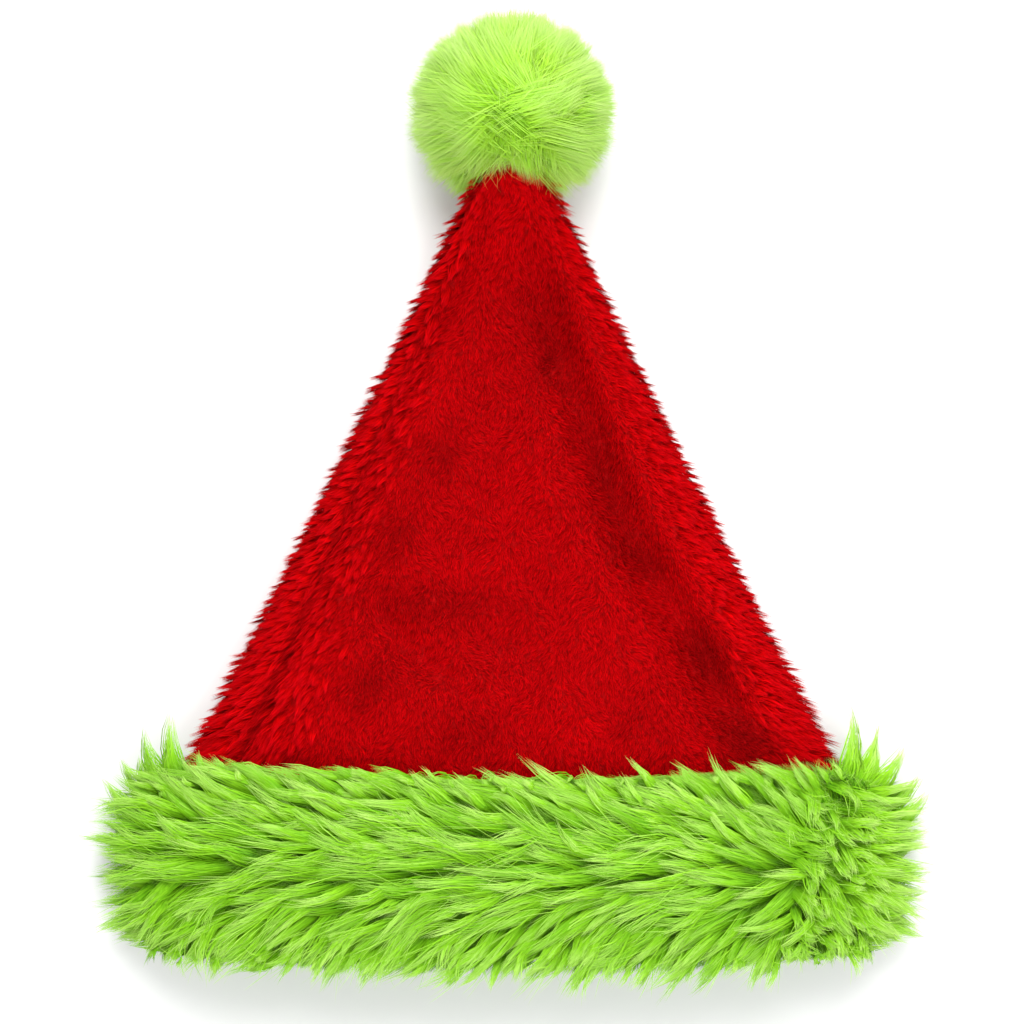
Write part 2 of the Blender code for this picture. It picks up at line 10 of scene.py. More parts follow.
import bpy
import numpy as np
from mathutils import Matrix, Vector


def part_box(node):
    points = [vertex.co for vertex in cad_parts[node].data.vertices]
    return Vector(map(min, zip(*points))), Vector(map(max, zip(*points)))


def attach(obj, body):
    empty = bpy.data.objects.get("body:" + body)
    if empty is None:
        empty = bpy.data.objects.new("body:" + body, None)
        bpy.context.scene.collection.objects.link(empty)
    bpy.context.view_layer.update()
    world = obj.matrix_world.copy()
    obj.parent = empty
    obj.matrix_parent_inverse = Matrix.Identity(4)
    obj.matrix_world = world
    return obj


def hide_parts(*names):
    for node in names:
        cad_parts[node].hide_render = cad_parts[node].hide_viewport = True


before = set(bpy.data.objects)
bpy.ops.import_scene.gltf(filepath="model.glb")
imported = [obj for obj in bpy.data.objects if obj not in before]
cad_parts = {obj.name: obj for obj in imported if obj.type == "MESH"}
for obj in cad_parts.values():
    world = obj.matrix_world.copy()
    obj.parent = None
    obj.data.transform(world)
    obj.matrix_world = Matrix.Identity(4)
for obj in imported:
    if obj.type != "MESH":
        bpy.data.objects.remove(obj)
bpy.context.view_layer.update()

# Sizes of the solids, in metres
RIM_WIDTH = 0.274
CROWN_LENGTH = 0.261
CROWN_LOFT = 0.041
TIP_WIDTH = 0.024
TIP_LOFT = 0.016
CLOTH_WALL = 0.003
SEAM_ALLOWANCE = 0.006
TIP_ROUNDING = 0.3
GATHER_START = 0.88
GATHER_DEPTH = 0.07
GATHER_PLEATS = 7
BAND_DEPTH = 0.070
BAND_BACKING = 0.0035
BAND_BULGE = 0.008
BAND_SWELL = 0.002
NAP_TOP = 0.007
NAP_SIDE = 0.010
NAP_UNDER = 0.004
PRESSED_FLAT = 0.0007
CLEARANCE = 0.0003
POMPOM_DIAMETER = 0.082
CORE_DIAMETER = 0.056
SEAT_SINK = 0.004
POMPOM_SIT = 0.93
SEAT_ELEVATION = math.radians(20)
UNDER_SQUARENESS = 6.0
LOWEST = 0.0002  # nothing of the hat lies nearer to the floor

# Sections of the lying crown, as in the solid
CROWN_SECTIONS = (
    # along, under, pressed, loft, side, lift, squareness
    (0.00, 1.00, 0.00, 0.82, 0.50, 0.00, 3.6),
    (0.10, 0.20, 0.00, 0.95, 0.46, 0.00, 3.2),
    (0.22, 0.00, 1.00, 0.94, 0.42, 0.00, 2.9),
    (0.50, 0.00, 1.00, 0.82, 0.40, 0.00, 2.7),
    (0.70, 0.00, 1.00, 0.74, 0.42, 0.02, 2.6),
    (0.86, 0.00, 0.00, 0.70, 0.48, 0.36, 2.5),
    (1.00, 0.00, 0.00, 0.60, 0.50, 1.00, 2.2),
)

# Folds of the crown's upper face, as in the solid, and finer ones that only show in the cloth
FOLDS = (
    # route of along and across, width, depth
    (((0.00, -0.88), (0.60, -0.82), (0.72, -0.80), (0.90, -0.52)), 0.018, 0.10),
    (((0.04, 0.77), (0.24, 0.70), (0.44, 0.57), (0.64, 0.48), (0.86, 0.42)), 0.042, 0.20),
    (((0.02, 0.90), (0.20, 0.87), (0.42, 0.80), (0.60, 0.77), (0.86, 0.72)), 0.034, -0.09),
    (((0.14, -0.10), (0.55, -0.12), (0.88, -0.05)), 0.105, 0.14),
    (((0.10, -0.08), (0.28, -0.56)), 0.040, 0.10),
)
FOLD_FADE = 0.10

# Sections of the band, as in the solid
BAND_SECTIONS = (
    # depth, full, bulge, swell
    (0.00, 0.50, 0.00, 0.00),
    (0.05, 0.82, 0.20, 0.10),
    (0.16, 1.00, 0.55, 0.40),
    (0.36, 1.00, 0.90, 0.80),
    (0.58, 1.00, 1.00, 1.00),
    (0.80, 1.00, 0.85, 0.90),
    (0.94, 0.84, 0.62, 0.60),
    (1.00, 0.50, 0.50, 0.50),
)

# Fur of the band: where its tips point, in degrees from +X towards +Y
BAND_FLOW = (
    # depth, at the left end, at the right parting
    (0.00, 152, 132),
    (0.25, 166, 146),
    (0.45, 184, 163),
    (0.60, 204, 192),
    (0.80, 222, 228),
    (1.00, 234, 246),
)
PARTING = (0.955, 0.42)  # at the right end: across and depth, as shares
PARTING_LENGTH = 0.022  # from there towards the crown


def fade(value, start, end):
    t = np.clip((value - start) / (end - start), 0.0, 1.0)
    return t * t * (3 - 2 * t)


def smooth_rows(table, places):
    """The columns of a table after its first, at places along that one, with no kinks."""
    rows = np.array(table, float)
    stops = rows[:, 0]
    slopes = np.gradient(rows, stops, axis=0)
    places = np.clip(np.asarray(places, float), stops[0], stops[-1])
    i = np.clip(np.searchsorted(stops, places) - 1, 0, len(stops) - 2)
    span = (stops[i + 1] - stops[i])[..., None]
    t = (places - stops[i])[..., None] / span
    values = (
        (2 * t**3 - 3 * t**2 + 1) * rows[i]
        + (t**3 - 2 * t**2 + t) * span * slopes[i]
        + (3 * t**2 - 2 * t**3) * rows[i + 1]
        + (t**3 - t**2) * span * slopes[i + 1]
    )
    return np.moveaxis(values, -1, 0)[1:]


def unit(vectors):
    return vectors / np.maximum(np.linalg.norm(vectors, axis=-1, keepdims=True), 1e-9)


# Shapes of the crown, the band and the pompom

BAND_HOLD = BAND_BACKING + NAP_UNDER
SEAT = CORE_DIAMETER / 2 - SEAT_SINK
POMPOM_CENTRE = np.array(
    (0.0, CROWN_LENGTH + SEAT * math.cos(SEAT_ELEVATION), POMPOM_SIT * POMPOM_DIAMETER / 2)
)
TIP_HEIGHT = POMPOM_CENTRE[2] + SEAT * math.sin(SEAT_ELEVATION)


def crown_section(along):
    """Half width, underside, widest line, top and squareness at shares of the length."""
    along = np.clip(along, 0.0, 1.0)
    under, pressed, loft, side, lift, squareness = smooth_rows(CROWN_SECTIONS, along)
    lift = np.clip(lift, 0.0, 1.0)
    loft = loft * CROWN_LOFT * (1 - lift) + TIP_LOFT * lift
    under = under * BAND_HOLD - pressed * PRESSED_FLAT + lift * (TIP_HEIGHT - TIP_LOFT / 2)
    half_width = (RIM_WIDTH + (TIP_WIDTH - RIM_WIDTH) * along) / 2
    return half_width, under, under + side * loft, under + loft, squareness


def oval(half_width, under, side, top, squareness, angle):
    """x and z on a flattened section, at angles from straight up."""
    across = np.sin(angle)
    upper = np.cos(angle) > 0
    power = np.where(upper, squareness, UNDER_SQUARENESS)
    reach = np.sqrt(np.clip(1 - np.abs(across) ** power, 0.0, 1.0))
    z = side + np.where(upper, (top - side) * reach, -(side - under) * reach)
    return half_width * across, z


def fold_drop(along, across):
    """How far the crown's upper face is pressed down by its folds."""
    half_width = crown_section(along)[0]
    drop = np.zeros_like(across)
    for route, width, depth in FOLDS:
        route = np.array(route)
        centre = np.interp(along, route[:, 0], route[:, 1])
        first, last = route[0, 0], route[-1, 0]
        start = fade(along, first, first + FOLD_FADE)
        end = 1 - fade(along, last - FOLD_FADE, last + FOLD_FADE)
        away = (across - centre) * half_width / (width * RIM_WIDTH)
        drop += start * end * depth * CROWN_LOFT * np.exp(-away * away)
    return drop * np.sqrt(np.clip(1 - across**4, 0.0, 1.0))


def crown_points(along, angle, grow=0.0):
    """Points of the crown's skin, grown outwards by a distance, or inwards when negative."""
    along, angle = np.broadcast_arrays(np.asarray(along, float), np.asarray(angle, float))
    half_width, under, side, top, squareness = crown_section(along)
    x, z = oval(half_width + grow, under - grow, side, top + grow, squareness, angle)
    z = z - np.where(np.cos(angle) > 0, fold_drop(along, np.sin(angle)), 0.0)
    z = np.maximum(z, max(-grow, LOWEST))
    pleat = 1 + GATHER_DEPTH * fade(along, GATHER_START, 1.0) * np.cos(GATHER_PLEATS * angle)
    middle = (under + top) / 2
    y = along * (CROWN_LENGTH - TIP_LOFT * TIP_ROUNDING)
    return np.stack((x * pleat, y, middle + (z - middle) * pleat), axis=-1)


def band_outline(depth, full, grow=0.0):
    """Half width, underside, widest line, top and squareness of the band's fur."""
    half_width, under, side, top, squareness = crown_section(np.zeros_like(depth))
    _, bulge, swell = smooth_rows(BAND_SECTIONS, depth)
    out_side = CLEARANCE + full * (NAP_SIDE + BAND_BACKING) + bulge * BAND_BULGE + grow
    out_top = CLEARANCE + full * (NAP_TOP + BAND_BACKING) + swell * BAND_SWELL + grow
    out_under = full * (BAND_HOLD + PRESSED_FLAT) + grow
    return half_width + out_side, under - out_under, side, top + out_top, squareness


def band_hollow(depth, full):
    """The same for the band's inner face."""
    half_width, under, side, top, squareness = crown_section(np.zeros_like(depth))
    _, bulge, swell = smooth_rows(BAND_SECTIONS, depth)
    inwards = CLOTH_WALL + CLEARANCE + full * BAND_BACKING
    half_width = half_width - inwards + bulge * BAND_BULGE
    return half_width, under + inwards, side, top - inwards + swell * BAND_SWELL, squareness


def band_points(outline, depth, angle):
    x, z = oval(*outline, angle)
    y = np.broadcast_to(-depth * BAND_DEPTH, x.shape)
    return np.stack((x, y, np.maximum(z, LOWEST)), axis=-1)


def nap_height(x, y):
    """Height of the band's upper fur under the locks, carried on past its edges."""
    depth = -y / BAND_DEPTH
    half_width, under, side, top, squareness = band_outline(depth, 1.0)
    share = np.minimum(np.abs(x) / half_width, 0.97)
    height = side + (top - side) * np.sqrt(1 - share**squareness)
    beyond_side = np.maximum(np.abs(x) - 0.97 * half_width, 0.0)
    beyond_edge = np.maximum(np.maximum(y, -y - BAND_DEPTH), 0.0)
    return height - 0.5 * beyond_side - beyond_edge**2 / (2 * BAND_DEPTH)


# From the design frame to the row frame

crown_low, crown_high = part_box("crown")
SHIFT = np.array(
    ((crown_low.x + crown_high.x) / 2, crown_low.y + SEAM_ALLOWANCE, crown_low.z)
)


# Meshes

def placed(name, data):
    made = bpy.data.objects.new(name, data)
    bpy.context.scene.collection.objects.link(made)
    return made


def sheet_piece(name, grids, surface):
    """A mesh of closed rings, given as arrays of rows of points, joined row to row."""
    points = np.concatenate([grid.reshape(-1, 3) for grid in grids])
    rows = sum(grid.shape[0] for grid in grids)
    across = grids[0].shape[1]
    start = np.arange(rows * across).reshape(rows, across)
    following = np.roll(start, -1, axis=1)
    faces = np.stack((start[:-1], following[:-1], following[1:], start[1:]), axis=-1)
    mesh = bpy.data.meshes.new(name)
    mesh.from_pydata((points + SHIFT).tolist(), [], faces.reshape(-1, 4).tolist())
    mesh.shade_smooth()
    mesh.materials.append(surface)
    return placed(name, mesh)


def dress(piece):
    """Fixes a piece to the hat."""
    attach(piece, "root")


def beside(ahead, normals):
    """Directions across lines that run over a surface, whose normals are one for each line."""
    return unit(np.cross(ahead, np.broadcast_to(normals[:, None, :], ahead.shape)))


HAIR_ROLL = 0.8  # how far a hair's ribbon is turned from lying flat, in radians
HAIR_TAPER = 1.6  # high where a hair stays wide for long


class Fur:
    """Hairs gathered into one mesh of thin ribbons, each tapered to a point."""

    def __init__(self, stops):
        self.stops = stops
        self.parts = []

    def add(self, lines, normals, widths, shades, chance, facing=None):
        """lines: hairs, stops, 3. normals: out of the surface. widths: at the widest place.

        facing: the way each hair is shaded, where that isn't its normal.
        """
        ahead = unit(np.gradient(lines, axis=1)[:, :-1])
        side = beside(ahead, normals)
        up = np.cross(side, ahead)
        turn = chance.uniform(-HAIR_ROLL, HAIR_ROLL, len(lines))[:, None, None]
        side = np.cos(turn) * side + np.sin(turn) * up
        self.parts.append((lines, side, normals if facing is None else facing, widths, shades))

    def piece(self, name, surface):
        lines, sides, facing, widths, shades = (np.concatenate(column) for column in zip(*self.parts))
        lines = lines + SHIFT
        facing = unit(facing)
        shades = np.clip(shades, 0.0, 1.0)
        count, stops = lines.shape[:2]
        along = np.linspace(0.0, 1.0, stops)
        taper = np.sqrt(np.clip(1 - along[:-1] ** HAIR_TAPER, 0.0, 1.0))
        taper = taper * np.clip(0.75 + along[:-1], 0, 1)
        half = sides * (widths[:, None] * taper / 2)[..., None]
        pairs = np.stack((lines[:, :-1] - half, lines[:, :-1] + half), axis=2)
        points = np.concatenate((pairs.reshape(count, -1, 3), lines[:, -1:]), axis=1)
        points[..., 2] = np.maximum(points[..., 2], LOWEST)
        per_hair = 2 * (stops - 1) + 1
        quads = [(2 * k, 2 * k + 1, 2 * k + 3, 2 * k + 2) for k in range(stops - 2)]
        corners = np.array(sum(quads, ()) + (2 * stops - 4, 2 * stops - 3, 2 * stops - 2))
        starts = np.array([4 * k for k in range(stops - 1)])
        loops = (np.arange(count)[:, None] * per_hair + corners).reshape(-1)
        loop_starts = (np.arange(count)[:, None] * len(corners) + starts).reshape(-1)
        mesh = bpy.data.meshes.new(name)
        mesh.vertices.add(count * per_hair)
        mesh.loops.add(len(loops))
        mesh.polygons.add(len(loop_starts))
        mesh.vertices.foreach_set("co", points.reshape(-1).astype(np.float32))
        mesh.loops.foreach_set("vertex_index", loops.astype(np.int32))
        mesh.polygons.foreach_set("loop_start", loop_starts.astype(np.int32))
        mesh.update(calc_edges=True)
        mesh.shade_smooth()
        mesh.normals_split_custom_set_from_vertices(np.repeat(facing, per_hair, axis=0).tolist())
        height = np.concatenate((np.repeat(along[:-1], 2), along[-1:]))
        place = np.tile(height, count)
        tone = np.repeat(shades, per_hair)
        for label, values in (("along", place), ("shade", tone)):
            attribute = mesh.attributes.new(label, "FLOAT", "POINT")
            attribute.data.foreach_set("value", values.astype(np.float32))
        edge = np.concatenate((np.tile((-0.004, 0.004), stops - 1), (0.0,)))
        u = 0.01 + 0.98 * np.clip(tone + np.tile(edge, count), 0.0, 1.0)
        v = 0.01 + 0.98 * place
        corner_places = np.column_stack((u[loops], v[loops]))
        layer = mesh.uv_layers.new(name="OFBake")
        layer.uv.foreach_set("vector", corner_places.reshape(-1).astype(np.float32))
        mesh.materials.append(surface)
        return placed(name, mesh)


# Materials

class Nodes:
    """Builds a node tree in few words."""

    def __init__(self, name):
        self.material = bpy.data.materials.new(name)
        self.material.use_nodes = True
        self.tree = self.material.node_tree
        self.shader = self.tree.nodes["Principled BSDF"]

    def node(self, kind, **settings):
        made = self.tree.nodes.new(kind)
        for name, value in settings.items():
            setattr(made, name, value)
        return made

    def link(self, source, target):
        self.tree.links.new(source, target)

    def attribute(self, name):
        return self.node("ShaderNodeAttribute", attribute_name=name).outputs["Fac"]

    def ramp(self, factor, places, colours):
        made = self.node("ShaderNodeValToRGB")
        band = made.color_ramp
        while len(band.elements) < len(colours):
            band.elements.new(0.5)
        for element, place, colour in zip(band.elements, places, colours):
            element.position = place
            element.color = (*colour, 1.0)
        self.link(factor, made.inputs["Fac"])
        return made.outputs["Color"]

    def mix(self, factor, first, second):
        made = self.node("ShaderNodeMix", data_type="RGBA", blend_type="MIX")
        self.link(factor, made.inputs["Factor"])
        self.link(first, made.inputs["A"])
        self.link(second, made.inputs["B"])
        return made.outputs["Result"]


def fill(node, values):
    """Sets inputs of a node by their names."""
    for name, value in values.items():
        node.inputs[name].default_value = value


def hair_material(name, dark, light, roughness, gloss, sheen=0.0, sheen_tint=(1.0, 1.0, 1.0)):
    """Hair with colours at its root, middle and tip, from a dark and a light row by its shade; the
    darker roots are painted shade.
    """
    nodes = Nodes(name)
    along = nodes.attribute("along")
    shade = nodes.attribute("shade")
    places = (0.0, 0.5, 1.0)
    colour = nodes.mix(shade, nodes.ramp(along, places, dark), nodes.ramp(along, places, light))
    nodes.link(colour, nodes.shader.inputs["Base Color"])
    fill(nodes.shader, {"Roughness": roughness, "Specular IOR Level": gloss})
    tint = (*sheen_tint, 1.0)
    fill(nodes.shader, {"Sheen Weight": sheen, "Sheen Roughness": 0.4, "Sheen Tint": tint})
    return nodes.material


def backing_material(name, dark, light, scale):
    """Cloth under the fur: a streaky ground of short fibres."""
    nodes = Nodes(name)
    place = nodes.node("ShaderNodeTexCoord").outputs["Object"]
    fine = nodes.node("ShaderNodeTexNoise")
    fill(fine, {"Scale": scale, "Detail": 4.0})
    nodes.link(place, fine.inputs["Vector"])
    colour = nodes.ramp(fine.outputs["Fac"], (0.3, 0.7), (dark, light))
    nodes.link(colour, nodes.shader.inputs["Base Color"])
    bump = nodes.node("ShaderNodeBump")
    fill(bump, {"Strength": 0.6, "Distance": 0.001})
    nodes.link(fine.outputs["Fac"], bump.inputs["Height"])
    nodes.link(bump.outputs["Normal"], nodes.shader.inputs["Normal"])
    fill(nodes.shader, {"Roughness": 0.9, "Specular IOR Level": 0.1})
    return nodes.material


# Red pile: the light row's slightly pink tips are a painted sheen highlight, the shader's own sheen
# being off
RED_HAIR = hair_material(
    "red_pile",
    ((0.12, 0.0, 0.0004), (0.28, 0.0002, 0.0008), (0.36, 0.0004, 0.0014)),
    ((0.42, 0.0, 0.0006), (0.86, 0.0004, 0.0016), (0.98, 0.0024, 0.0100)),
    roughness=0.60,
    gloss=0.02,
)
# Green fur: the light row's pale yellowish tips are partly the fur's own colour and partly painted
# highlight
GREEN_HAIR = hair_material(
    "green_fur",
    ((0.06, 0.26, 0.0005), (0.15, 0.46, 0.003), (0.26, 0.62, 0.018)),
    ((0.14, 0.44, 0.001), (0.33, 0.73, 0.020), (0.66, 0.92, 0.25)),
    roughness=0.50,
    gloss=0.12,
    sheen=0.05,
    sheen_tint=(0.80, 1.0, 0.45),
)
POMPOM_HAIR = hair_material(
    "pompom_fur",
    ((0.18, 0.55, 0.002), (0.36, 0.80, 0.015), (0.48, 0.90, 0.06)),
    ((0.30, 0.72, 0.006), (0.56, 0.94, 0.080), (0.76, 0.97, 0.38)),
    roughness=0.55,
    gloss=0.12,
    sheen=0.05,
    sheen_tint=(0.85, 1.0, 0.50),
)
RED_BACKING = backing_material("red_backing", (0.26, 0.0, 0.0006), (0.48, 0.0, 0.001), 700)
GREEN_BACKING = backing_material("green_backing", (0.08, 0.30, 0.002), (0.18, 0.52, 0.008), 500)


# Crown

SHELL_SINK = 0.0018  # how far the cloth lies under the pile's outer form
PILE_START = -0.01
PILE_END = 0.985
UPPER_REACH = math.pi / 2 + 0.25  # how far round from straight up the upper pile goes
PILE_TURN = math.radians(56)  # how far the pile is combed outwards at the crown's edges
PILE_TONE = 0.60
# the underside's pile is darker: painted shade under the lying crown
UNDER_TONE = 0.45
FOLD_SHADE = 0.60  # painted shade: how much darker a fold as deep as the crown's loft would be; raised ridges get painted highlight
CLUMP_RADIUS = 0.72  # of the roots of a clump, as a share of the pitch
CLUMP_TURN = 0.16  # how far single clumps turn, in radians
PILE_SWIRL = 0.26  # how far the middle's pile is brushed about, in radians
SWIRLS = (
    # length across, length along, phase
    (0.037, 0.083, 0.4),
    (0.023, -0.041, 2.1),
    (0.071, 0.029, 4.0),
    (-0.029, 0.019, 1.2),
    (0.052, -0.117, 5.3),
    (0.017, 0.033, 3.3),
)
OUTLINE_START = 0.92  # share of the half width from which the pile sticks out sideways
OUTLINE_TURN = 0.72  # how far it does
RIM_LENGTHENING = 0.40  # how much longer the tufts are next to the band
RIM_REACH = 0.35  # how far up the crown that fades
SEAM_PLACE = -0.85
SEAM_BREADTH = 0.018
SEAM_TONE = 0.50
SEAM_STEP = 0.58  # share of that combing which starts past the seam

# How each kind of pile stands
PILE_COLUMNS = ("pitch", "hairs", "length", "rise", "spread", "gather", "width", "jitter", "grain")
FINE_PILE = dict(zip(PILE_COLUMNS, (0.0022, 22, 0.0044, 44, 24, 0.44, 0.00046, 0.38, 0.23)))
TUFTED_PILE = dict(zip(PILE_COLUMNS, (0.0032, 30, 0.0073, 29, 9, 0.82, 0.00044, 0.26, 0.14)))
UNDER_PILE = dict(zip(PILE_COLUMNS, (0.0036, 8, 0.0050, 16, 6, 0.35, 0.00080, 0.38, 0.13)))

# Patches of the pile, lighter or darker than the rest: most are brushed pile, and the dark ones along
# the valley fold on the right are painted shade
BRUSHED_AND_SHADED_PATCHES = (
    # along, across, half length, half breadth, tone
    (0.80, 0.10, 0.070, 0.40, -0.16),
    (0.70, 0.34, 0.060, 0.20, -0.32),
    # these four follow the valley fold on the right: painted shade
    (0.50, 0.53, 0.100, 0.13, -0.42),
    (0.36, 0.60, 0.040, 0.11, -0.46),
    (0.20, 0.73, 0.055, 0.09, -0.76),
    (0.07, 0.76, 0.040, 0.10, -0.70),
    (0.53, -0.44, 0.045, 0.14, -0.26),
    (0.40, -0.58, 0.045, 0.12, -0.34),
    (0.29, -0.40, 0.035, 0.28, -0.32),
    (0.16, -0.51, 0.045, 0.09, -0.38),
    (0.08, -0.14, 0.035, 0.14, -0.34),
    (0.03, -0.72, 0.025, 0.06, -0.36),
    (0.10, 0.42, 0.040, 0.12, -0.22),
    (0.63, -0.64, 0.055, 0.14, 0.10),
    (0.47, 0.04, 0.085, 0.16, 0.12),
    (0.35, -0.14, 0.030, 0.20, 0.14),
    (0.92, 0.00, 0.100, 0.80, 0.26),
    (0.08, 0.23, 0.030, 0.14, 0.10),
)


def build_crown_shell():
    along = np.linspace(0.0, 1.0, 64)[:, None]
    angle = np.linspace(-math.pi, math.pi, 80, endpoint=False)[None, :]
    outer = crown_points(along, angle, -SHELL_SINK)
    inner = crown_points(along, angle, -CLOTH_WALL)[::-1]
    first = outer[:1] - np.array((0.0, SEAM_ALLOWANCE, 0.0))
    last = inner[-1:] - np.array((0.0, SEAM_ALLOWANCE, 0.0))
    return sheet_piece("crown_cloth", (first, outer, inner, last, first), RED_BACKING)


def crown_normals(along, angle):
    step = 1e-3
    ahead = crown_points(along + step, angle) - crown_points(along - step, angle)
    round_way = crown_points(along, angle + step) - crown_points(along, angle - step)
    return unit(np.cross(round_way, ahead))


def pile_tufting(across):
    """How far the pile stands in combed tufts: 1 at the crown's edges, 0 in its middle."""
    return np.maximum(fade(-across, 0.60, 0.85), fade(across, 0.76, 0.94))


def pile_heading(place, across):
    """Where the pile's tips point as seen from above, in radians from +X towards +Y."""
    combed = fade(np.abs(across), 0.35, 0.85)
    beside_seam = (1 - SEAM_STEP) * fade(-across, 0.35, 0.80)
    beside_seam = beside_seam + SEAM_STEP * fade(-across, -SEAM_PLACE - 0.01, 0.90)
    outwards = np.where(across < 0, beside_seam, fade(across, 0.35, 0.96))
    swirl = np.zeros(len(across))
    for length_x, length_y, phase in SWIRLS:
        swirl += np.sin(2 * math.pi * (place[:, 0] / length_x + place[:, 1] / length_y) + phase)
    turn = np.sign(across) * PILE_TURN * outwards
    return -math.pi / 2 + turn + PILE_SWIRL * (1 - combed) * swirl


def pile_tone_and_shade(along, across):
    """How light the pile is: painted shade in the folds, painted highlight on the ridges, darker along
    the seam, and lighter or darker at the patches, brushed or painted shade.
    """
    tone = PILE_TONE - FOLD_SHADE * fold_drop(along, across) / CROWN_LOFT
    seam = np.exp(-(((across - SEAM_PLACE) / SEAM_BREADTH) ** 2))
    tone = tone - SEAM_TONE * seam * (1 - fade(along, 0.75, 0.95))
    for spot_along, spot_across, length, breadth, change in BRUSHED_AND_SHADED_PATCHES:
        away = ((along - spot_along) / length) ** 2 + ((across - spot_across) / breadth) ** 2
        tone = tone + change * np.exp(-away)
    return tone


def pile_roots(first_angle, last_angle, kind, chance):
    """Shares along and angles of clumps spread evenly over a part of the crown's skin."""
    pitch, jitter = kind["pitch"], kind["jitter"]
    length = CROWN_LENGTH - TIP_LOFT * TIP_ROUNDING
    rows = int(length * (PILE_END - PILE_START) / pitch)
    found = []
    for k, along in enumerate(np.linspace(PILE_START, PILE_END, rows)):
        angles = np.linspace(first_angle, last_angle, 241)
        line = crown_points(max(along, 0.0), angles)
        steps = np.linalg.norm(np.diff(line, axis=0), axis=1)
        reach = np.concatenate(((0.0,), np.cumsum(steps)))
        count = max(int(reach[-1] / pitch), 3)
        spots = (np.arange(count) + 0.5 * (k % 2) + chance.uniform(-jitter, jitter, count)) / count
        places = np.interp(spots * reach[-1], reach, angles)
        shares = along + chance.uniform(-jitter, jitter, count) * pitch / length
        found.append(np.column_stack((shares, places)))
    return np.concatenate(found)


def grow_pile(fur, roots, kind, chance):
    """Hairs in clumps on the crown's skin, combed along its headings."""
    hairs, gathering = kind["hairs"], kind["gather"]
    along, angle = np.clip(roots[:, 0], 0.0, 1.0), roots[:, 1]
    place = crown_points(along, angle, -SHELL_SINK)
    place[:, 1] += (roots[:, 0] - along) * CROWN_LENGTH
    normal = crown_normals(along, angle)
    across = np.sin(angle)
    upper = np.cos(angle) > 0
    heading = pile_heading(place, across) + chance.normal(0, CLUMP_TURN, len(roots))
    flat = np.stack((np.cos(heading), np.sin(heading), np.zeros_like(heading)), axis=-1)
    comb = unit(flat - normal * np.sum(flat * normal, axis=1, keepdims=True))
    outline = OUTLINE_TURN * (upper * fade(np.abs(across), OUTLINE_START, 0.99))[:, None]
    comb = unit(comb * (1 - outline) + flat * outline)
    # upper pile: painted fold shade and highlight with the patches; underside: a darker tone as painted
    # shade
    tone = np.where(upper, pile_tone_and_shade(along, across), UNDER_TONE) + chance.normal(0, 0.05, len(roots))
    size = chance.uniform(0.8, 1.15, len(roots))
    repeat = np.repeat(np.arange(len(roots)), hairs)
    count = len(repeat)
    side = np.cross(comb, normal)[repeat]
    comb, normal, place = comb[repeat], normal[repeat], place[repeat]
    radius = CLUMP_RADIUS * kind["pitch"] * size[repeat] * np.sqrt(chance.uniform(0, 1, count))
    turn = chance.uniform(0, 2 * math.pi, count)
    a, b = radius * np.cos(turn), radius * np.sin(turn)
    length = kind["length"] * size[repeat] * chance.uniform(0.75, 1.08, count)
    longer = RIM_LENGTHENING * (1 - fade(along, 0.0, RIM_REACH)) * pile_tufting(across)
    length = length * (1 + longer[repeat])
    rise = np.radians(kind["rise"] + kind["spread"] * chance.uniform(-1, 1, count))
    veer = chance.normal(0, 0.30, count) * (1 - gathering)
    root = place + side * a[:, None] + comb * b[:, None]
    lines = []
    for t in np.linspace(0.0, 1.0, fur.stops):
        drawn = gathering * t
        forward = length * np.cos(rise) * np.cos(veer) * t - b * drawn
        up = length * np.sin(rise) * (1.35 * t - 0.35 * t * t)
        sway = length * np.cos(rise) * np.sin(veer) * t - a * drawn
        lines.append(root + comb * forward[:, None] + normal * up[:, None] + side * sway[:, None])
    lines = np.stack(lines, axis=1)
    widths = kind["width"] * chance.uniform(0.7, 1.25, count)
    shades = tone[repeat] + chance.normal(0, kind["grain"], count)
    tilt = (a / kind["pitch"])[:, None] * gathering
    fur.add(lines, normal, widths, shades, chance, facing=normal + side * tilt + comb * 0.15)


def build_crown():
    shell = build_crown_shell()
    dress(shell)
    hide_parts("crown")
    chance = np.random.default_rng(11)
    fine = pile_roots(-UPPER_REACH, UPPER_REACH, FINE_PILE, chance)
    fine = fine[chance.uniform(0, 1, len(fine)) > 0.6 * pile_tufting(np.sin(fine[:, 1]))]
    tufts = pile_roots(-UPPER_REACH, UPPER_REACH, TUFTED_PILE, chance)
    tufts = tufts[chance.uniform(0, 1, len(tufts)) < pile_tufting(np.sin(tufts[:, 1]))]
    under = pile_roots(UPPER_REACH, 2 * math.pi - UPPER_REACH, UNDER_PILE, chance)
    parts = (
        ("pile_fine", fine, FINE_PILE, 2),
        ("pile_tufts", tufts, TUFTED_PILE, 3),
        ("pile_under", under, UNDER_PILE, 2),
    )
    for name, roots, kind, stops in parts:
        fur = Fur(stops)
        grow_pile(fur, roots, kind, chance)
        dress(fur.piece(name, RED_HAIR))


# Fur in locks

LOCK_STOPS = 5
LOCK_WAY = np.linspace(0.0, 1.0, LOCK_STOPS)  # where they are, as shares of the way to its tip
LOCK_HAIR_WIDTH = 0.00046
HAIR_CURL = 0.0009
LOCK_TIPS = 3  # strands in a lock, each with a tip of its own
LOCK_GATHER = 0.94  # how far the hairs are drawn together at their tips
STRAND_REACH = (0.74, 1.06)  # lengths of the strands, as shares of the guide line
LOCK_FORK = 0.34  # how far the tips part, as a share of the lock's half width
EDGE_FORK = 0.16  # the same for the locks of the band's outline
STRAY_SPREAD = 0.009  # how far single hairs leave their lock
STRAY_WIDTH = 0.9 * LOCK_HAIR_WIDTH


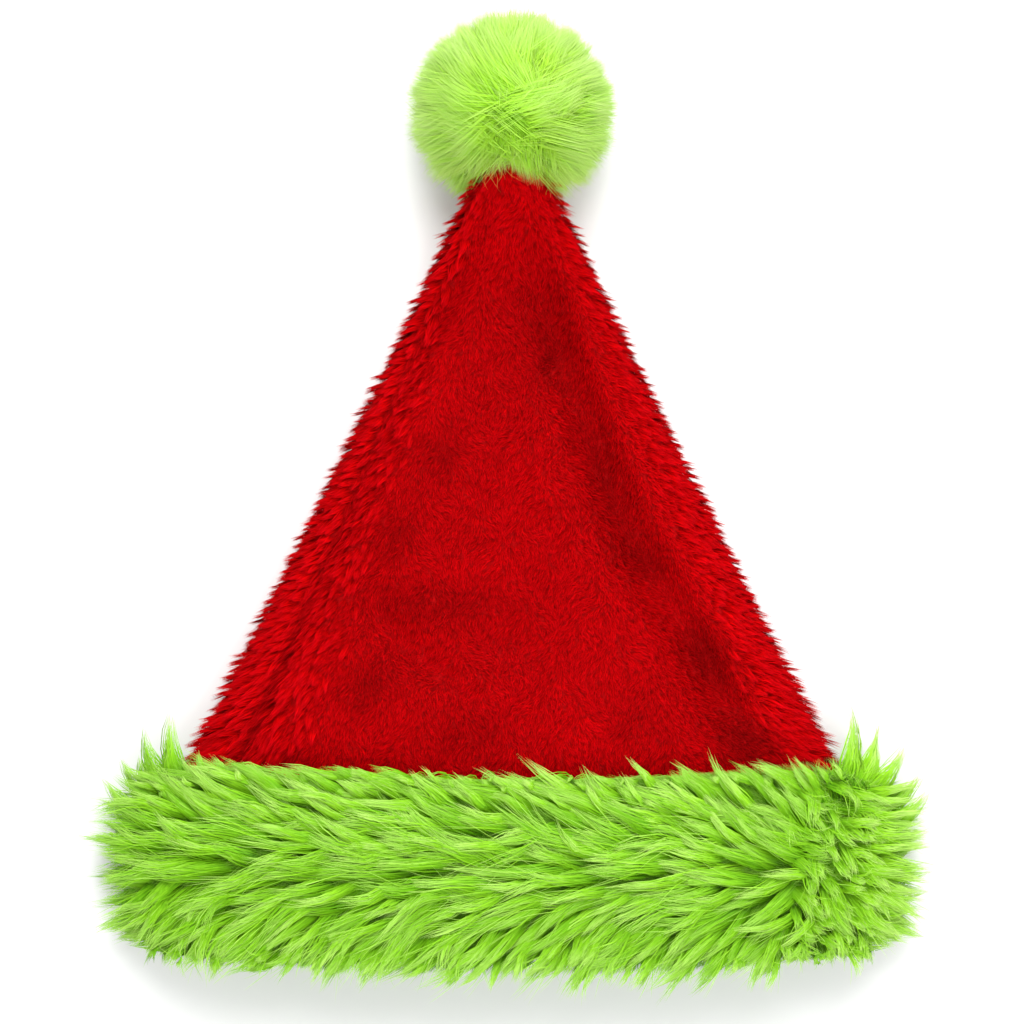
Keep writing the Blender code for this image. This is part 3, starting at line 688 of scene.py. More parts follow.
def add_locks(fur, guides, normals, half_width, thick, hairs, tone, chance, fork=LOCK_FORK):
    """Hairs round guide lines, spread at their roots and drawn together at their tips.

    guides: locks, stops, 3. normals: locks, 3. half_width and thick: size of each lock's root.
    """
    repeat = np.repeat(np.arange(len(guides)), hairs)
    count = len(repeat)
    t = np.linspace(0.0, 1.0, guides.shape[1])
    guide = guides[repeat]
    normal = normals[repeat]
    strand = chance.integers(0, LOCK_TIPS, count)
    strand_reach = chance.uniform(*STRAND_REACH, (len(guides), LOCK_TIPS))[repeat, strand]
    strand_side = 2 * (strand + 0.5) / LOCK_TIPS - 1
    radius = np.sqrt(chance.uniform(0, 1, count))
    turn = chance.uniform(0, 2 * math.pi, count)
    a = radius * np.cos(turn)
    b = radius * np.sin(turn)
    gather = 1 - LOCK_GATHER * t**1.2
    widen = 0.75 + 0.6 * np.sin(np.clip(t, 0, 0.5) * math.pi)
    parted = strand_side[:, None] * fork * t**1.5
    sideways = half_width[repeat][:, None] * (a[:, None] * gather * widen + parted)
    swell = 0.2 + 0.8 * np.sin(np.minimum(t * 1.6, 1) * math.pi / 2)
    arch = (np.sqrt(np.clip(1 - a * a, 0, 1)) * thick[repeat])[:, None] * swell * gather**0.5
    depth = (chance.uniform(-1.0, 0.0, count) * thick[repeat])[:, None] * gather
    shift = (b * 0.16)[:, None]
    reach = (strand_reach * (1.08 - 0.45 * chance.uniform(0, 1, count) ** 0.8))[:, None]
    lines = follow(guide, np.clip(t * reach + shift * (1 - t), 0.0, 1.1))
    side = beside(np.gradient(lines, axis=1), normal)
    phase = chance.uniform(0, 2 * math.pi, count)[:, None]
    wave = HAIR_CURL * np.sin(phase + t * chance.uniform(2.0, 7.0, count)[:, None]) * t
    lines = lines + side * (sideways + wave)[..., None] + normal[:, None, :] * (arch + depth)[..., None]
    shades = tone[repeat] + chance.normal(0, 0.12, count)
    widths = LOCK_HAIR_WIDTH * chance.uniform(0.6, 1.2, count)
    fur.add(lines, normal, widths, shades, chance, facing=normal + side[:, 1] * a[:, None])


def follow(guide, place):
    """Points at shares of the way along each guide line, carried on past its end."""
    last = guide.shape[1] - 1
    spot = place * last
    i = np.clip(np.floor(spot).astype(int), 0, last - 1)
    part = (spot - i)[..., None]
    rows = np.arange(len(guide))[:, None]
    return guide[rows, i] * (1 - part) + guide[rows, i + 1] * part


def add_strays(fur, guides, normals, chance):
    """Single hairs that leave their lock."""
    count = len(guides)
    t = np.linspace(0.0, 1.0, guides.shape[1])
    side = beside(np.gradient(guides, axis=1), normals)
    away = chance.uniform(-1, 1, count)[:, None] * STRAY_SPREAD * t**1.5
    up = chance.uniform(0.1, 1, count)[:, None] * STRAY_SPREAD * 0.5 * np.sin(t * math.pi * 0.8)
    lines = guides + side * away[..., None] + normals[:, None, :] * up[..., None]
    shades = chance.uniform(0.5, 1.0, count)
    widths = STRAY_WIDTH * chance.uniform(0.5, 0.9, count)
    fur.add(lines, normals, widths, shades, chance)


# Band

BAND_SINK = 0.0045  # how far the padding lies under the dense fur
STRAY_LIMIT = -0.006  # locks whose tips end beyond it, along y, have no stray hairs
STRAYS = 3  # for each other lock
BAND_LAYERS = (
    # pitch, length, half width, thickness, hairs, lift, tone
    (0.0072, 0.041, 0.0044, 0.0027, 62, 0.0000, 0.46),
    (0.0102, 0.037, 0.0030, 0.0017, 40, 0.0028, 0.64),
    (0.0062, 0.020, 0.0036, 0.0022, 40, 0.0015, 0.52),
)
PARTING_LAYER = 2  # the row above that only fills the parting
PARTING_SWEEP = math.radians(-52)  # where its tips point
PARTING_BREADTH = 0.014  # where short fur fills the parting
BAND_FAN = math.radians(22)  # how far the fur fans out at the left end
BAND_TOP_EDGE = -0.0006  # tips past the band's edge over the crown, at its middle
BAND_TOP_BOW = 0.0105  # how much further they reach towards the ends
BAND_MOUTH_EDGE = 0.0092  # tips past the band's edge at the mouth, at its middle
BAND_MOUTH_BOW = 0.0070  # how much less they reach towards the ends
BAND_BOW_AT = 0.145  # where, from the middle
BAND_WISP = 0.0055  # the longest tips past those lines
BAND_LONG_WISP = 0.0060  # how much further the tips of some locks reach
LONG_WISPS = 0.20  # share of the locks that do
TOP_SLACK = 0.010  # how far the tips may stay short of the band's ends
EDGE_SLACK = 0.009
BAND_SIDE_REACH = 0.1825  # tips from the middle, at the band's ends
BAND_ROUNDING = 0.031  # how far the ends are rounded off at their corners
BAND_MIDDLE = -0.038  # where the ends reach furthest, along y
BAND_HALF_DEPTH = 0.050
END_TONE = 0.52  # how much lighter the fur past the parting is
END_START, END_FULL = 0.122, 0.152  # from where to where that grows, from the middle
CALM = 0.45  # how much less the locks vary at that end
BEND = 0.22  # of the locks, in radians, by the waves below
BENDS = (
    # length across, length along, phase
    (0.053, 0.090, 1.0),
    (-0.083, 0.061, 4.0),
    (0.031, -0.120, 2.3),
)
UNDERFUR_HAIRS = 36000
UNDERFUR_LENGTH = 0.011
UNDERFUR_WIDTH = 0.0007

# Short locks round the band's ends and along its underside at the mouth
SIDE_HEIGHTS = (0.004, 0.011, 0.018, 0.026, 0.034)
SIDE_LOCKS = 11  # in each row, at each end
SIDE_FAN = math.radians(34)
SIDE_INSET = 0.007  # of the roots from the dense fur's outline
SIDE_SLOPE = 0.010  # how much further in the lowest roots lie
MOUTH_HEIGHTS = (0.004, 0.009)
MOUTH_LOCKS = 44  # in each row
MOUTH_HALF_WIDTH = 0.155
MOUTH_INSET = 0.008
MOUTH_FAN = math.radians(30)
MOUTH_SWEEP = 0.35  # how far they are swept to the left, in radians

# Locks round the lip at the mouth
LIP_ROWS = (
    # locks, share of the full fur, further out, shortest, longest
    (90, 0.62, 0.0, 0.009, 0.014),
    (80, 0.22, 0.0, 0.008, 0.013),
    (80, 0.00, -0.0025, 0.007, 0.011),
)

# Locks that hang over the band's edge onto the crown
CROWN_EDGE_LOCKS = 90  # in each row
CROWN_EDGE_REACH = 0.60  # how far round the band, as a share of half its way round
CROWN_EDGE_SWEEP = -0.06  # how far round the tips lie from the roots, in radians
CROWN_EDGE_ROWS = (
    # depth and share of the full fur at the roots and at the bend, and that share at the tips
    (0.11, 0.72, 0.020, 0.90, 0.16),
    (0.03, 0.30, -0.005, 0.52, 0.06),
)

# Single locks that stand out of the band's corners
CORNER_LOCKS = (
    # root x, root y, tip x, tip y
    (-0.1400, 0.0010, -0.1435, 0.0275),
    (-0.1425, 0.0000, -0.1410, 0.0180),
    (-0.1460, -0.0040, -0.1560, 0.0205),
    (-0.1490, -0.0060, -0.1575, 0.0120),
    (-0.1510, -0.0110, -0.1655, 0.0085),
    (-0.1540, -0.0190, -0.1730, -0.0020),
    (0.1400, 0.0010, 0.1428, 0.0295),
    (0.1430, 0.0000, 0.1400, 0.0200),
    (0.1450, -0.0020, 0.1550, 0.0240),
    (0.1480, -0.0040, 0.1530, 0.0140),
    (0.1500, -0.0080, 0.1670, 0.0130),
    (0.1540, -0.0150, 0.1740, 0.0015),
    (0.1570, -0.0220, 0.1770, -0.0065),
)
CORNER_SINK = 0.003  # how far they lie under the dense fur
CORNER_BOW = 0.0015  # how far they bow out at their middle

# Size of those locks: half width, thickness, hairs
EDGE_LOCK = (0.0050, 0.0030, 60)
LIP_LOCK = (0.0052, 0.0020, 32)
CROWN_EDGE_LOCK = (0.0050, 0.0020, 28)
CORNER_LOCK = (0.0056, 0.0026, 80)


def build_band_core():
    rows = np.array(BAND_SECTIONS)
    depth = np.linspace(0.0, 1.0, 30)[:, None]
    angle = np.linspace(-math.pi, math.pi, 100, endpoint=False)[None, :]
    shape = np.broadcast_to(depth, (30, 100))
    full = np.interp(shape, rows[:, 0], rows[:, 1])
    outer = band_points(band_outline(shape, full, -BAND_SINK), depth, angle)
    outer[..., 2] = np.maximum(outer[..., 2], 0.0006)
    inner = band_points(band_hollow(shape, full), depth, angle)[::-1]
    return sheet_piece("band_padding", (outer, inner, outer[:1]), GREEN_BACKING)


def band_heading(x, y):
    """Where the band's fur points as seen from above, in radians."""
    depth = np.clip(-y / BAND_DEPTH, 0.0, 1.0)
    half_width = RIM_WIDTH / 2
    table = np.array(BAND_FLOW, float)
    left = np.interp(depth, table[:, 0], table[:, 1])
    right = np.interp(depth, table[:, 0], table[:, 2])
    across = np.clip((x / half_width + 1) / 2, 0.0, 1.0)
    heading = np.radians(left + (right - left) * across)
    fan = BAND_FAN * np.clip((-x / half_width - 0.6) / 0.5, 0.0, 1.0)
    heading = heading + fan * np.where(depth > 0.5, 1.0, -1.0) * np.abs(depth - 0.5) * 2
    middle_x, middle_y = PARTING[0] * half_width, -PARTING[1] * BAND_DEPTH
    away = np.arctan2(y - np.clip(y, middle_y, middle_y + PARTING_LENGTH), x - middle_x + 0.006)
    return np.where(x > middle_x + 0.1 * (y - middle_y), away, heading)


def near_parting(x):
    return np.exp(-(((x - PARTING[0] * RIM_WIDTH / 2) / PARTING_BREADTH) ** 2))


def end_tone(x):
    return END_TONE * fade(x, END_START, END_FULL)


def top_guides(x, y, heading, length, bend, sway, rise, tip_rise):
    """Guide lines that run over the band's dense fur from roots in it."""
    t = LOCK_WAY
    middles = (t[1:] + t[:-1]) / 2
    turned = heading[:, None] + bend[:, None] * middles**1.5
    turned = turned + sway[:, None] * np.sin(2 * math.pi * middles)
    step = (length / (LOCK_STOPS - 1))[:, None]
    dx, dy = step * np.cos(turned), step * np.sin(turned)
    zero = np.zeros((len(x), 1))
    px = x[:, None] + np.concatenate((zero, np.cumsum(dx, axis=1)), axis=1)
    py = y[:, None] + np.concatenate((zero, np.cumsum(dy, axis=1)), axis=1)
    climb = np.sin(np.minimum(t / 0.5, 1.0) * math.pi / 2)
    late = np.clip((t - 0.5) / 0.5, 0.0, 1.0) ** 2
    lift = -BAND_SINK + (BAND_SINK + rise[:, None]) * climb - (rise - tip_rise)[:, None] * late
    return np.stack((px, py, nap_height(px, py) + lift), axis=-1)


def bowed(x):
    return np.minimum(np.abs(x) / BAND_BOW_AT, 1.15) ** 2


def top_limit(x):
    """How far the tips reach over the crown, along y."""
    return BAND_TOP_EDGE + BAND_TOP_BOW * bowed(x)


def mouth_limit(x):
    """How far the tips reach out of the mouth, along y."""
    return -BAND_DEPTH - BAND_MOUTH_EDGE + BAND_MOUTH_BOW * bowed(x)


def side_reach(y):
    """How far the tips reach from the middle at the band's rounded ends."""
    away = np.minimum(np.abs(y - BAND_MIDDLE) / BAND_HALF_DEPTH, 1.1)
    return BAND_SIDE_REACH - BAND_ROUNDING * away**3.5


def kept_within(tip, root, wisp, slack):
    """Shares of the lengths at which the tips end round the band's outline."""
    (tip_x, tip_y), (x, y) = tip, root
    top, bottom = top_limit(tip_x) + wisp, mouth_limit(tip_x) - wisp
    end = side_reach(tip_y) - slack
    limits = (
        (tip_y > top, (top - y) / (tip_y - y + 1e-9)),
        (tip_y < bottom, (bottom - y) / (tip_y - y - 1e-9)),
        (np.abs(tip_x) > end, (np.sign(tip_x) * end - x) / (tip_x - x + 1e-9)),
    )
    share = np.ones(len(x))
    for past, room in limits:
        share = np.where(past, np.minimum(share, room), share)
    return np.clip(share, 0.25, 1.0)


def tip_wisps(count, long_share, chance):
    """How far each tip may reach past the band's outline."""
    wisp = BAND_WISP * chance.uniform(0.0, 1.0, count) ** 1.5
    return wisp + long_share * BAND_LONG_WISP * (chance.uniform(0.0, 1.0, count) > 1 - LONG_WISPS)


def top_roots(pitch, chance):
    found = []
    rows = int(BAND_DEPTH / pitch)
    for k, depth in enumerate(np.linspace(0.03, 0.97, rows)):
        reach = 0.95 * float(band_outline(np.array([depth]), 1.0)[0][0])
        count = int(2 * reach / pitch)
        x = (np.arange(count) + 0.5 * (k % 2) + 0.25) / count * 2 * reach - reach
        x += chance.uniform(-0.4, 0.4, count) * pitch
        y = -(depth * BAND_DEPTH) + chance.uniform(-0.4, 0.4, count) * pitch
        found.append(np.column_stack((x, y)))
    return np.concatenate(found)


def nap_normal(x, y):
    step = 0.002
    slope_x = (nap_height(x + step, y) - nap_height(x - step, y)) / (2 * step)
    slope_y = (nap_height(x, y + step) - nap_height(x, y - step)) / (2 * step)
    return unit(np.stack((-slope_x, -slope_y, np.ones_like(x)), axis=-1))


def band_top_fur(fur, roots, layer, chance):
    _, reach, half_width, thick, hairs, lift, base_tone = layer
    x, y = roots[:, 0], roots[:, 1]
    count = len(x)
    parting = near_parting(x)
    calm = 1 - CALM * fade(x, 0.115, 0.145)
    jitter = 0.009 - 0.0075 * parting
    heading = band_heading(x + chance.normal(0, jitter), y + chance.normal(0, 0.004, count))
    heading += chance.normal(0, 0.15, count) * calm
    if layer is BAND_LAYERS[PARTING_LAYER]:
        heading = PARTING_SWEEP + chance.normal(0, 0.38, count)
    length = reach * chance.uniform(0.70, 1.2, count) * (1 - 0.25 * parting)
    bend = sum(np.sin(2 * math.pi * (x / a + y / b) + phase) for a, b, phase in BENDS)
    bend = (BEND * bend + chance.normal(0, 0.20, count)) * calm
    sway = chance.normal(0, 0.14, count) * calm
    rise = lift + chance.uniform(0.001, 0.0055, count) + 0.003 * parting
    tip_rise = lift * 0.6 + chance.uniform(0.0, 0.0045, count)
    wisp = tip_wisps(count, 1.0, chance)
    slack = TOP_SLACK * chance.uniform(0.0, 1.0, count) ** 1.5
    for _ in range(2):
        guides = top_guides(x, y, heading, length, bend, sway, rise, tip_rise)
        length = length * kept_within(guides[:, -1, :2].T, (x, y), wisp, slack)
    guides = top_guides(x, y, heading, length, bend, sway, rise, tip_rise)
    normals = nap_normal(x, y)
    size = chance.uniform(0.6, 1.35, count) * np.clip(length / reach + 0.2, 0.5, 1.0)
    tone = base_tone + end_tone(x) + chance.normal(0, 0.13, count) * calm
    add_locks(fur, guides, normals, half_width * size, thick * size, hairs, tone, chance)
    inside = np.flatnonzero(guides[:, -1, 1] < STRAY_LIMIT)
    chosen = chance.choice(inside, size=STRAYS * len(inside))
    add_strays(fur, guides[chosen], normals[chosen], chance)


def band_underfur(fur, chance):
    """Short soft fur between and under the locks."""
    count = UNDERFUR_HAIRS
    y = -BAND_DEPTH * chance.uniform(-0.02, 1.04, count)
    x = chance.uniform(-0.99, 0.99, count) * band_outline(np.clip(-y / BAND_DEPTH, 0, 1), 1.0)[0]
    heading = band_heading(x + chance.normal(0, 0.009, count), y) + chance.normal(0, 0.45, count)
    length = UNDERFUR_LENGTH * chance.uniform(0.7, 1.2, count)
    tip_x, tip_y = x + length * np.cos(heading), y + length * np.sin(heading)
    tip_y = np.clip(tip_y, mouth_limit(tip_x), top_limit(tip_x) + 0.002)
    root = np.stack((x, y, nap_height(x, y) - BAND_SINK), axis=-1)
    tip = np.stack((tip_x, tip_y, nap_height(tip_x, tip_y) - chance.uniform(0, 0.003, count)), axis=-1)
    # darker than the locks as painted shade under them, less of it at the parting
    tone = 0.34 + end_tone(x) + 0.14 * near_parting(x) + chance.normal(0, 0.12, count)
    widths = UNDERFUR_WIDTH * chance.uniform(0.7, 1.2, count)
    fur.add(np.stack((root, tip), axis=1), nap_normal(x, y), widths, tone, chance)


def row_places(count, first, chance):
    """Places along a row, one in each of its equal parts, as shares of the row."""
    return (np.arange(count) + chance.uniform(first, 1 - first, count)) / count


def round_band(angle, ahead=0.0):
    """Directions out of the band at angles from straight up, turned towards the crown."""
    return unit(np.column_stack((np.sin(angle), np.full(len(angle), ahead), np.cos(angle))))


def outline_guides(start, ahead, length, drop):
    """Guide lines from roots near the floor, which point outwards and settle on it."""
    t = LOCK_WAY
    line = start[:, None, :] + ahead[:, None, :] * (length[:, None] * t)[..., None]
    line[..., 2] -= drop[:, None] * t**1.6
    line[..., 2] = np.maximum(line[..., 2], 0.0012)
    return line


def short_locks(fur, guides, normals, kind, tone, chance, grain=0.12, fork=LOCK_FORK):
    half_width, thick, hairs = kind
    size = chance.uniform(0.8, 1.2, len(guides))
    tone = tone + chance.normal(0, grain, len(guides))
    add_locks(fur, guides, normals, half_width * size, thick * size, hairs, tone, chance, fork)


def side_rows(chance):
    """Start, direction, length and drop of the locks round the band's two ends."""
    side_height = float(crown_section(np.zeros(1))[2][0])
    for height in SIDE_HEIGHTS:
        for end in (-1, 1):
            depth = row_places(SIDE_LOCKS, 0.2, chance)
            inset = SIDE_SLOPE * abs(height - side_height) / side_height
            turn = SIDE_FAN * (1 - 2 * depth) + chance.normal(0, 0.14, SIDE_LOCKS)
            x = end * (band_outline(depth, 1.0)[0] - SIDE_INSET - inset)
            y = -depth * BAND_DEPTH
            room = (side_reach(y) - np.abs(x)) / np.maximum(np.cos(turn), 0.6)
            yield (
                np.column_stack((x, y, np.full(SIDE_LOCKS, height))),
                np.column_stack((end * np.cos(turn), np.sin(turn), np.full(SIDE_LOCKS, 0.05))),
                room * chance.uniform(0.75, 1.0, SIDE_LOCKS),
                np.full(SIDE_LOCKS, 0.35 * height),
            )


def mouth_rows(chance):
    """The same for the locks along the band's underside at the mouth."""
    for height in MOUTH_HEIGHTS:
        across = row_places(MOUTH_LOCKS, 0.1, chance) * 2 - 1
        heading = -math.pi / 2 + MOUTH_FAN * across**3 - MOUTH_SWEEP * (across < 0.85)
        heading += chance.normal(0, 0.16, MOUTH_LOCKS)
        x = across * MOUTH_HALF_WIDTH
        y = np.full(MOUTH_LOCKS, -BAND_DEPTH + MOUTH_INSET)
        yield (
            np.column_stack((x, y, np.full(MOUTH_LOCKS, height))),
            np.column_stack((np.cos(heading), np.sin(heading), np.zeros(MOUTH_LOCKS))),
            chance.uniform(0.012, 0.020, MOUTH_LOCKS) - BAND_MOUTH_BOW * bowed(x),
            np.full(MOUTH_LOCKS, 0.5 * height),
        )


def band_edge_fur(fur, chance):
    """Fur round the band's two ends and along its underside at the mouth."""
    rows = list(side_rows(chance)) + list(mouth_rows(chance))
    start, ahead, length, drop = (np.concatenate(column) for column in zip(*rows))
    count = len(start)
    ahead = unit(ahead)
    wisp = tip_wisps(count, 0.5, chance)
    slack = EDGE_SLACK * chance.uniform(0.0, 1.0, count) ** 1.2
    for _ in range(3):
        tip = start + ahead * length[:, None]
        length = length * kept_within(tip[:, :2].T, start[:, :2].T, wisp, slack)
    guides = outline_guides(start, ahead, length, drop)
    normals = np.tile((0.0, 0.0, 1.0), (count, 1))
    tone = 0.58 + 0.6 * end_tone(start[:, 0])
    short_locks(fur, guides, normals, EDGE_LOCK, tone, chance, fork=EDGE_FORK)


def band_lip_fur(fur, chance):
    """Fur round the band's lip at the mouth, pointing out of it."""
    for count, full, grow, shortest, longest in LIP_ROWS:
        angle = row_places(count, 0.2, chance) * 2 * math.pi
        depth = np.full(count, 1.0)
        start = band_points(band_outline(depth, full, grow), depth, angle)
        outwards = round_band(angle)
        ahead = np.array((-0.12, -1.0, 0.0)) + outwards * np.array((0.35, 0.0, 0.35))
        ahead = unit(ahead + chance.normal(0, 0.12, (count, 3)))
        length = chance.uniform(shortest, longest, count)
        start[:, 1] += 0.003
        start[:, 2] = np.maximum(start[:, 2], 0.003)
        guides = outline_guides(start, ahead, length, np.full(count, 0.002))
        short_locks(fur, guides, outwards, LIP_LOCK, 0.42, chance)


def band_corner_fur(fur, chance):
    """Single locks that stand out of the band's corners."""
    rows = np.array(CORNER_LOCKS)
    root, tip = rows[:, None, :2], rows[:, None, 2:]
    t = LOCK_WAY[None, :, None]
    path = root + (tip - root) * t
    path = path + CORNER_BOW * np.sin(math.pi * t) * np.sign(root[..., :1]) * np.array((1.0, 0.0))
    height = nap_height(path[..., 0], path[..., 1]) - CORNER_SINK
    guides = np.concatenate((path, height[..., None]), axis=-1)
    normals = nap_normal(rows[:, 0], rows[:, 1])
    tone = 0.55 + end_tone(rows[:, 0])
    short_locks(fur, guides, normals, CORNER_LOCK, tone, chance, grain=0.08, fork=EDGE_FORK)


def band_crown_fur(fur, chance):
    """Short fur that hangs over the band's edge onto the crown."""
    t = LOCK_WAY
    stops = (0.0, 0.4, 1.0)
    count = CROWN_EDGE_LOCKS
    for root_depth, root_full, bend_depth, bend_full, tip_full in CROWN_EDGE_ROWS:
        turn = (row_places(count, 0.2, chance) * 2 - 1) * math.pi * CROWN_EDGE_REACH
        tip_x = crown_section(np.zeros(1))[0] * np.sin(turn)
        tip_depth = -(top_limit(tip_x) + chance.uniform(-0.002, 0.002, count)) / BAND_DEPTH
        sweep = CROWN_EDGE_SWEEP + chance.normal(0, 0.03, count)
        angle = turn[:, None] + sweep[:, None] * t
        depth = np.stack([np.interp(t, stops, (root_depth, bend_depth, end)) for end in tip_depth])
        full = np.broadcast_to(np.interp(t, stops, (root_full, bend_full, tip_full)), depth.shape)
        guides = band_points(band_outline(depth, full), depth, angle)
        short_locks(fur, guides, round_band(turn, 0.4), CROWN_EDGE_LOCK, 0.46, chance)


def build_band():
    core = build_band_core()
    dress(core)
    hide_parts("fur_band")
    chance = np.random.default_rng(21)
    layers = [[top_roots(layer[0], chance), layer] for layer in BAND_LAYERS]
    filling = layers[PARTING_LAYER][0]
    beside_line = np.abs(filling[:, 0] - PARTING[0] * RIM_WIDTH / 2)
    layers[PARTING_LAYER][0] = filling[beside_line < 1.4 * PARTING_BREADTH]
    for name, end in (("band_fur_left", -1), ("band_fur_right", 1)):
        fur = Fur(LOCK_STOPS)
        for roots, layer in layers:
            band_top_fur(fur, roots[roots[:, 0] * end > 0], layer, chance)
        dress(fur.piece(name, GREEN_HAIR))
    fur = Fur(2)
    band_underfur(fur, chance)
    dress(fur.piece("band_underfur", GREEN_HAIR))
    fur = Fur(LOCK_STOPS)
    band_edge_fur(fur, chance)
    band_lip_fur(fur, chance)
    band_corner_fur(fur, chance)
    band_crown_fur(fur, chance)
    dress(fur.piece("band_fur_edges", GREEN_HAIR))


# Pompom

WHORL_TILT = math.radians(22)  # of the whorl of its fur from straight up
POMPOM_TUFTS = 330
POMPOM_HAIRS = 160
POMPOM_STOPS = 3
POMPOM_HAIR_WIDTH = 0.00034
POMPOM_LEAN = math.radians(8)  # of the hairs away from the whorl
WHORL_LEAN = math.radians(34)  # the same, added where it is greatest
WHORL_BREADTH = math.radians(30)  # how far from the whorl that is
WHORL_CROWDING = math.radians(13)  # how far the tufts stand nearer to it
POMPOM_BREADTH = 1.045  # of the fur across, as a share of its length
POMPOM_SAG = 0.0054  # of the fur's outer form, towards the crown
POMPOM_GATHER = 0.58  # how far the hairs of a tuft are drawn together at their tips
SEAT_CONE = math.radians(25)  # round the crown's tip, with no fur
TIP_COVER = 0.2566  # how far the fur hangs over the crown's tip, along y
TIP_ARCH = 0.60  # how fast that edge falls away beside the tip's middle
ROOT_RADIUS = CORE_DIAMETER / 2 * 0.94  # at which the hairs start
TIP_ROOTS = (0.260, 0.274)  # where those over the crown's tip start, along y
TIP_HALF_BREADTH = 0.017
TIP_HAIRS = (
    # how many, nearest and furthest end along y, drift, width as a share
    (500, 0.2560, 0.2600, 0.002, 1.0),
    (110, 0.2500, 0.2590, 0.005, 0.6),
)
SEAT_DIRECTION = np.array((0.0, -math.cos(SEAT_ELEVATION), math.sin(SEAT_ELEVATION)))
WHORL_DIRECTION = np.array((0.0, -math.sin(WHORL_TILT), math.cos(WHORL_TILT)))


def build_pompom_core():
    rings, sides = 28, 48
    height = np.linspace(1.0, -1.0, rings)[:, None]
    turn = np.linspace(0.0, 2 * math.pi, sides, endpoint=False)[None, :]
    flat = np.sqrt(1 - height**2)
    level = np.broadcast_to(height, (rings, sides))
    ball = np.stack((flat * np.cos(turn), flat * np.sin(turn), level), axis=-1)
    points = POMPOM_CENTRE + ball * CORE_DIAMETER / 2 * 0.96
    points[..., 2] = np.maximum(points[..., 2], 0.001)
    return sheet_piece("pompom_padding", (points,), GREEN_BACKING)


def spread_directions(count):
    """Directions spread evenly over a ball, along a spiral."""
    i = np.arange(count) + 0.5
    height = 1 - 2 * i / count
    radius = np.sqrt(1 - height * height)
    turn = i * math.pi * (3 - math.sqrt(5))
    return np.stack((radius * np.cos(turn), radius * np.sin(turn), height), axis=-1)


def turned_away(direction, pole, angle):
    """Directions turned away from a pole by angles."""
    axis = unit(np.cross(np.broadcast_to(pole, direction.shape), direction))
    angle = np.asarray(angle)[..., None]
    return direction * np.cos(angle) + np.cross(axis, direction) * np.sin(angle)


def kept_off_tip(lines, chance):
    """Hairs that would run into the crown's tip or far over it, made shorter."""
    root, tip = lines[:, 0], lines[:, -1]
    limit = TIP_COVER - TIP_ARCH * np.abs(tip[:, 0]) - 0.005 * chance.uniform(-0.3, 1, len(lines))
    near = (np.abs(tip[:, 0]) < 0.8 * TIP_WIDTH) & (tip[:, 2] > TIP_HEIGHT - TIP_LOFT)
    share = (limit - root[:, 1]) / np.minimum(tip[:, 1] - root[:, 1], -1e-6)
    share = np.where(near & (tip[:, 1] < limit), np.clip(share, 0.15, 1.0), 1.0)
    return root[:, None, :] + (lines - root[:, None, :]) * share[:, None, None]


def over_tip(fur, row, chance):
    """Hairs of the pompom that fall over the crown's tip."""
    count, nearest, furthest, drift, breadth = row
    t = np.linspace(0.0, 1.0, fur.stops)
    x = chance.uniform(-TIP_HALF_BREADTH, TIP_HALF_BREADTH, count)
    start = chance.uniform(*TIP_ROOTS, count)
    level = np.sqrt(np.clip(ROOT_RADIUS**2 - x**2 - (start - POMPOM_CENTRE[1]) ** 2, 0.0, None))
    end = chance.uniform(nearest, furthest, count) - TIP_ARCH * np.abs(x)
    y = start[:, None] + (end - start)[:, None] * t
    top = crown_section(y / (CROWN_LENGTH - TIP_LOFT * TIP_ROUNDING))[3]
    rise = chance.uniform(0.0, 0.007, count)
    z = (POMPOM_CENTRE[2] + level)[:, None] * (1 - t) + (top + 0.0016 + rise[:, None]) * t
    z = z + 0.006 * np.sin(math.pi * t)
    phase = chance.uniform(0, 2 * math.pi, count)[:, None]
    x = x[:, None] * (1 + 0.15 * t) + chance.normal(0, drift, count)[:, None] * t**2
    x = x + 0.6 * drift * np.sin(phase + 5 * t) * t
    shades = chance.uniform(0.1, 0.7, count)
    widths = breadth * POMPOM_HAIR_WIDTH * chance.uniform(0.7, 1.1, count)
    lines = np.stack((x, y, z), axis=-1)
    fur.add(lines, unit(lines[:, -1] - POMPOM_CENTRE), widths, shades, chance)


def from_whorl(directions):
    """Angles from the middle of the whorl."""
    return np.arccos(np.clip(directions @ WHORL_DIRECTION, -1.0, 1.0))


def pompom_tufts(chance):
    """Directions of the tufts from the pompom's middle, and how far each strays from its own."""
    tufts = spread_directions(POMPOM_TUFTS)
    tufts = unit(tufts + chance.normal(0, 0.05, tufts.shape))
    tufts = turned_away(tufts, WHORL_DIRECTION, -WHORL_CROWDING * np.sin(from_whorl(tufts)))
    astray = chance.normal(0, 0.10, tufts.shape)
    kept = tufts @ SEAT_DIRECTION < math.cos(SEAT_CONE)
    return tufts[kept], astray[kept]


